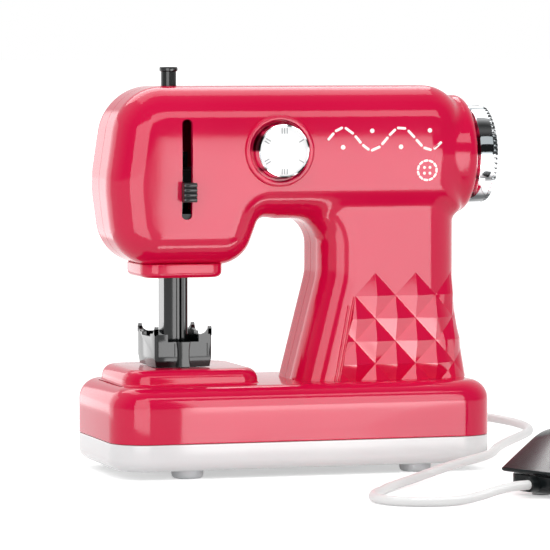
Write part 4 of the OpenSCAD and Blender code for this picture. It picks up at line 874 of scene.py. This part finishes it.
def add_shoe_inlays(bm):
    for low, high in ((LEFT + INLAY_EDGE, HEAD_X - INLAY_MIDDLE),
                      (HEAD_X + INLAY_MIDDLE, RIGHT - INLAY_EDGE)):
        add_box(bm, (low, FRONT - 1, INLAY_LOW), (high, FRONT + INLAY_DEPTH, INLAY_TOP))


cut(shoe, lambda bm: add_box(bm, (LEFT + SHOE_WALL, FRONT + SHOE_WALL, SHOE_WEB),
                             (RIGHT - SHOE_WALL, -FRONT - SHOE_WALL, CLEAR_Z)))
cut(shoe, lambda bm: add_box(bm, (HEAD_X - NOTCH_HALF, NOTCH_FRONT, NOTCH_Z),
                             (HEAD_X + NOTCH_HALF, NOTCH_BACK, CLEAR_Z)))
cut(shoe, lambda bm: add_box(bm, (LEFT - 1, -NOTCH_HALF, SIDE_NOTCH_Z),
                             (RIGHT + 1, NOTCH_HALF, CLEAR_Z)))
cut(shoe, lambda bm: add_lathe(bm, NEEDLE_HOLE, (NEEDLE_X, 0, 0), UP, count=32))
cut(shoe, add_shoe_inlays)

bm = bmesh.new()
for sx in (-1, 1):
    for sy in (-1, 1):
        x0, y0 = HEAD_X + sx * SHOE_W / 2, sy * SHOE_D / 2
        add_loft(bm, [[(x0 - sx * (u + FIN_GAP), y0 - sy * depth, SHOE_TOP + v) for u, v in FIN]
                      for depth in (FIN_GAP, FIN_T)])
        add_loft(bm, [[(x0 - sx * depth, y0 - sy * (u + FIN_GAP), SHOE_TOP + v) for u, v in FIN]
                      for depth in (FIN_GAP, FIN_T)])
rings = []
for half, z in PILLAR:
    outline = rectangle(2 * half, PILLAR_D, PILLAR_R, HEAD_X, FRONT + PILLAR_BACK)
    rings.append([(p[0], p[1], z) for p in rounded(outline, steps=4)])
add_loft(bm, rings)
new_piece("shoe_fins", bm, BLACK, "presser", smooth=20)


# Printed pattern: a running stitch in a wave with dots, and a button

PRINT_IN, PRINT_OUT = 0.3, 0.09
STITCH, SPACE, STITCH_W = 2.6, 1.5, 0.9
WAVE_START, WAVE_END, WAVE_Z, WAVE_RISE, WAVE_LEN = 10.0, 50, 115.2, 3.9, 21
DOTS, DOT_R = ((15.2, 112.4), (25.8, 118), (36.2, 112.4), (46.8, 118)), 0.8
BUTTON_X, BUTTON_Z, BUTTON_R, HOLE_R = 45.8, 104.2, 3.4, 0.5
DASHES, DASH_HALF, DASH_W = 11, 0.26, 0.75


def add_print(bm, ring):
    """A flat shape of (x, z) points laid on the casing's front."""
    x, z = np.array(ring, float).T
    y = front_y(x, z)
    add_loft(bm, [list(zip(x, y + PRINT_IN, z)), list(zip(x, y - PRINT_OUT, z))])


def capsule(a, b, width):
    along = (Vector(b) - Vector(a)).normalized()
    side = Vector((-along.y, along.x))
    ring = []
    for centre, start in ((b, -90), (a, 90)):
        for t in arc(start, start + 180):
            ring.append(Vector(centre) + (along * math.cos(t) + side * math.sin(t)) * width / 2)
    return ring


def circle(x, z, r, count=24):
    turns = [2 * math.pi * k / count for k in range(count)]
    return [(x + r * math.cos(a), z + r * math.sin(a)) for a in turns]


def wave(x):
    return WAVE_Z + WAVE_RISE * math.sin((x - WAVE_START) * 2 * math.pi / WAVE_LEN)


def add_stitches(bm):
    """Stitches and gaps of even length along the wave."""
    x, step = WAVE_START, 0.01
    while x < WAVE_END:
        places = [x]
        for length in (STITCH, SPACE):
            slope = (wave(x + step) - wave(x)) / step
            x += length / math.hypot(1, slope)
            places.append(x)
        add_print(bm, capsule(*[(p, wave(p)) for p in places[:2]], STITCH_W))


def add_button(bm):
    for k in range(DASHES):
        ends = [2 * math.pi * (k + part) / DASHES for part in (-DASH_HALF, DASH_HALF)]
        places = [(BUTTON_X + BUTTON_R * math.cos(a), BUTTON_Z + BUTTON_R * math.sin(a))
                  for a in ends]
        add_print(bm, capsule(*places, DASH_W))
    for dx in (-1, 1):
        for dz in (-1, 1):
            add_print(bm, circle(BUTTON_X + dx, BUTTON_Z + dz, HOLE_R))


bm = bmesh.new()
add_stitches(bm)
for x, z in DOTS:
    add_print(bm, circle(x, z, DOT_R))
add_button(bm)
new_piece("stitch_print", bm, PRINT, "machine")


# Pedal

AT_PEDAL = Matrix.Translation(Vector(PEDAL_PLACE)) @ Matrix.Rotation(PEDAL_TURN, 4, "Z")
PEDAL_LEN, PEDAL_W, PEDAL_H, NOSE_Z, BROW_X, BROW_Z, PEDAL_WALL = 56, 32, 25, 7.6, 20, 21.2, 1.8
PEDAL_EDGE, PEDAL_CROWN, EDGE_SHARE, PEDAL_STEPS = 2.4, 1.6, 0.9, 15
HOLLOW_HALF, HOLLOW_DROP = PEDAL_W / 2 - PEDAL_WALL - 0.4, 0.7
MOUTH = [(5.8, 0), (PEDAL_LEN - 1.8, 0), (PEDAL_LEN - 1.8, NOSE_Z + 4.8), (5.8, NOSE_Z + 2.4)]
TUB_LEN, TUB_W, TUB_CORNER, TUB_LOW, TUB_TOP, TUB_EDGE, TUB_LIP = 49.6, 26.4, 5, 1.2, 7.2, 3, 0.3


def pedal_section(drop):
    """Side outline of the pedal cover, with its top lowered by drop."""
    return [[0, NOSE_Z, 0.8], [PEDAL_LEN, NOSE_Z + 2, 1], [PEDAL_LEN, PEDAL_H - drop, 5],
            [BROW_X, BROW_Z - drop, 18]]


def add_pedal_cover(bm):
    rings = []
    half, edge = PEDAL_W / 2, PEDAL_EDGE
    flat = [(0, y) for y in np.linspace(-half + edge, half - edge, PEDAL_STEPS)]
    ends = [(edge * (1 - math.cos(t)), half - edge * (1 - math.sin(t))) for t in arc(0, 90, 6)][1:]
    levels = [(i, -y) for i, y in reversed(ends)] + flat + ends
    for inset, y in levels:
        drop = PEDAL_CROWN * (abs(y) / half) ** 2
        ring = rounded(pedal_section(drop), inset * EDGE_SHARE)
        rings.append([(p[0], y, p[1]) for p in ring])
    add_loft(bm, rings)
    bm.transform(AT_PEDAL)


def add_in_pedal(bm, ring):
    """A ring of (x, z) points drawn out across the pedal's inside."""
    add_prism_y(bm, ring, -HOLLOW_HALF, HOLLOW_HALF)
    bm.transform(AT_PEDAL)


bm = bmesh.new()
add_pedal_cover(bm)
cover = new_piece("pedal_top", bm, PEDAL, "pedal", ["pedal_cover"])
cut(cover, lambda bm: add_in_pedal(bm, rounded(pedal_section(HOLLOW_DROP), PEDAL_WALL, 6)))
cut(cover, lambda bm: add_in_pedal(bm, MOUTH))

bm = bmesh.new()
add_soft_box(bm, rectangle(TUB_LEN, TUB_W, TUB_CORNER, PEDAL_LEN / 2),
             soft_levels(TUB_LOW, TUB_TOP, TUB_EDGE, TUB_LIP))
bm.transform(AT_PEDAL)
new_piece("pedal_tub", bm, PEDAL, "machine", ["pedal_base"])


# Cord

CORD_D = 3.2
CORD_POINTS = [
    [50, 35.5, 17.5], [50, 42, 17.5], [52.5, 49.5, 16.8], [58, 56, 15.6], [66, 60, 14.2],
    [75, 61.5, 12.9], [84, 61, 11.7], [92, 58.5, 10.6], [99, 54, 9.6], [103.5, 47.5, 8.7],
    [105, 40, 7.9], [103.5, 32.5, 7.3], [99.5, 25, 7], [93.5, 16, 6.8], [87, 6.5, 6.6],
    [80.5, -3.5, 6.4], [75, -13, 6.3], [70.8, -21.5, 6.2], [66.6, -29.4, 6], [61, -35.6, 5.5],
    [54, -40.4, 4.8], [46.5, -45.7, 4], [39.5, -52, 3.3], [32.5, -59.5, 2.8], [25.5, -67.5, 2.4],
    [18.5, -75.5, 2.1], [11.5, -84, 1.8], [5, -94, 1.7], [-0.5, -103.5, 1.7], [-3, -112, 1.7],
    [-2, -120, 1.7], [3, -126, 1.7], [11, -129, 1.7], [20, -128.2, 1.8], [28.5, -124.9, 2.6],
    [36, -121.4, 3.9], [42.5, -118.3, 4.5], [48.5, -115.5, 4.5],
]


def make_cord():
    data = bpy.data.curves.new("lead", "CURVE")
    data.dimensions = "3D"
    data.bevel_depth = CORD_D / 2 * MM
    data.bevel_resolution = 6
    data.resolution_u = 8
    data.use_fill_caps = True
    line = data.splines.new("BEZIER")
    line.bezier_points.add(len(CORD_POINTS) - 1)
    for knot, point in zip(line.bezier_points, CORD_POINTS):
        knot.co = Vector(point) * MM
        knot.handle_left_type = knot.handle_right_type = "AUTO"
    data.materials.append(CORD)
    piece = bpy.data.objects.new("lead", data)
    scene.collection.objects.link(piece)
    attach(piece, "machine")
    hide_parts("cord")
    return piece


lead = make_cord()
CORD_STEPS = zip(CORD_POINTS, CORD_POINTS[1:])
CORD_LENGTH = sum((Vector(b) - Vector(a)).length for a, b in CORD_STEPS) * MM


# Floor, world and lamps

AMBIENT = 0.9
FLOOR_SIZE, FLOOR_GREY, FLOOR_SEEN, FLOOR_GLOW_SHARE = 20, 0.82, 1.9, 0.5


def shown_rays(tree):
    """1 for rays from the camera, a reflection or a see-through surface, else 0."""
    path = tree.nodes.new("ShaderNodeLightPath")
    found = path.outputs["Is Camera Ray"]
    for name in ("Is Glossy Ray", "Is Transmission Ray"):
        both = tree.nodes.new("ShaderNodeMath")
        both.operation = "MAXIMUM"
        tree.links.new(found, both.inputs[0])
        tree.links.new(path.outputs[name], both.inputs[1])
        found = both.outputs[0]
    return found


def make_floor():
    """Floor that shows white with a soft shadow, and lights the object as a pale grey one."""
    bm = bmesh.new()
    bmesh.ops.create_grid(bm, x_segments=1, y_segments=1, size=FLOOR_SIZE)
    mesh = bpy.data.meshes.new("floor")
    bm.to_mesh(mesh)
    bm.free()
    floor = bpy.data.objects.new("floor", mesh)
    scene.collection.objects.link(floor)
    material = bpy.data.materials.new("floor_white")
    material.use_nodes = True
    tree = material.node_tree
    tree.nodes.clear()
    plain, seen, glow, share, choose, end = (
        tree.nodes.new("ShaderNode" + kind) for kind in
        ("BsdfDiffuse", "BsdfDiffuse", "Emission", "MixShader", "MixShader", "OutputMaterial"))
    plain.inputs["Color"].default_value = (FLOOR_GREY, FLOOR_GREY, FLOOR_GREY, 1)
    seen.inputs["Color"].default_value = (FLOOR_SEEN, FLOOR_SEEN, FLOOR_SEEN, 1)
    share.inputs["Fac"].default_value = FLOOR_GLOW_SHARE
    tree.links.new(seen.outputs[0], share.inputs[1])
    tree.links.new(glow.outputs[0], share.inputs[2])
    tree.links.new(shown_rays(tree), choose.inputs["Fac"])
    tree.links.new(plain.outputs[0], choose.inputs[1])
    tree.links.new(share.outputs[0], choose.inputs[2])
    tree.links.new(choose.outputs[0], end.inputs["Surface"])
    mesh.materials.append(material)


def make_world():
    """White for the camera; in reflections white behind the object and dark in front of it."""
    world = bpy.data.worlds.new("studio")
    scene.world = world
    world.use_nodes = True
    tree = world.node_tree

    def node(kind, **values):
        made = tree.nodes.new(kind)
        for name, value in values.items():
            made.inputs[name.replace("_", " ")].default_value = value
        return made

    light = tree.nodes["Background"]
    light.inputs["Color"].default_value = (1, 1, 1, 1)
    place, axes, path = (node(kind) for kind in
                         ("ShaderNodeTexCoord", "ShaderNodeSeparateXYZ", "ShaderNodeLightPath"))
    room = node("ShaderNodeMapRange", From_Min=-0.35, From_Max=0.35, To_Min=0.12, To_Max=1.0)
    tree.links.new(place.outputs["Generated"], axes.inputs["Vector"])
    tree.links.new(axes.outputs["Y"], room.inputs["Value"])
    lit = node("ShaderNodeMix", A=AMBIENT)
    tree.links.new(shown_rays(tree), lit.inputs["Factor"])
    tree.links.new(room.outputs["Result"], lit.inputs["B"])
    seen = node("ShaderNodeMix", B=1.0)
    tree.links.new(path.outputs["Is Camera Ray"], seen.inputs["Factor"])
    tree.links.new(lit.outputs["Result"], seen.inputs["A"])
    tree.links.new(seen.outputs["Result"], light.inputs["Strength"])


def soft_light(name, place, target, size, radiance, glossy=True, only=None):
    """Rectangular lamp, for reflections or for plain light; only is the one piece it may light."""
    data = bpy.data.lights.new(name, "AREA")
    data.shape = "RECTANGLE"
    data.size, data.size_y = (v * MM for v in size)
    data.energy = radiance * math.pi * data.size * data.size_y
    lamp = bpy.data.objects.new(name, data)
    scene.collection.objects.link(lamp)
    lamp.location = Vector(place) * MM
    aim(lamp, Vector(target) * MM)
    lamp.visible_camera = False
    lamp.visible_diffuse = not glossy
    lamp.visible_glossy = glossy
    if only:
        group = bpy.data.collections.new(name)
        group.objects.link(only)
        lamp.light_linking.receiver_collection = group


make_floor()
make_world()
soft_light("front_panel", (45.2, -140, 70.3), (45.2, 0, 70.3), (125.6, 100.5), 7)
soft_light("base_panel", (17, -62, 16.5), (17, 0, 16.5), (112, 21), 7)
soft_light("front_strip", (25, -140, 195), (25, 0, 195), (210, 59), 5)
soft_light("left_strip", (-122, -140, 101), (-122, 0, 101), (127, 198), 5)
soft_light("left_panel", (-190, 220, 101), (0, 30, 101), (240, 200), 1.5)
soft_light("rear_strip", (0, 250, 380), (0, 0, 130), (420, 160), 3.5)
soft_light("overhead", (0, 140, 520), (0, 140, 0), (460, 260), 2.2)
soft_light("facet_left", (5, -120, 2), (5, -120, 50), (100, 160), 10, only=panel)
soft_light("facet_right", (125, -100, 2), (125, -100, 50), (100, 160), 4, only=panel)
soft_light("key", (-300, -700, 700), (0, 0, 60), (500, 500), 2, glossy=False)
soft_light("pedal_band", (45, -50, 78), (75, -100, 20), (120, 9), 16, only=cover)
soft_light("pedal_fill", (95, -40, 60), (75, -100, 20), (160, 60), 0.5, only=cover)
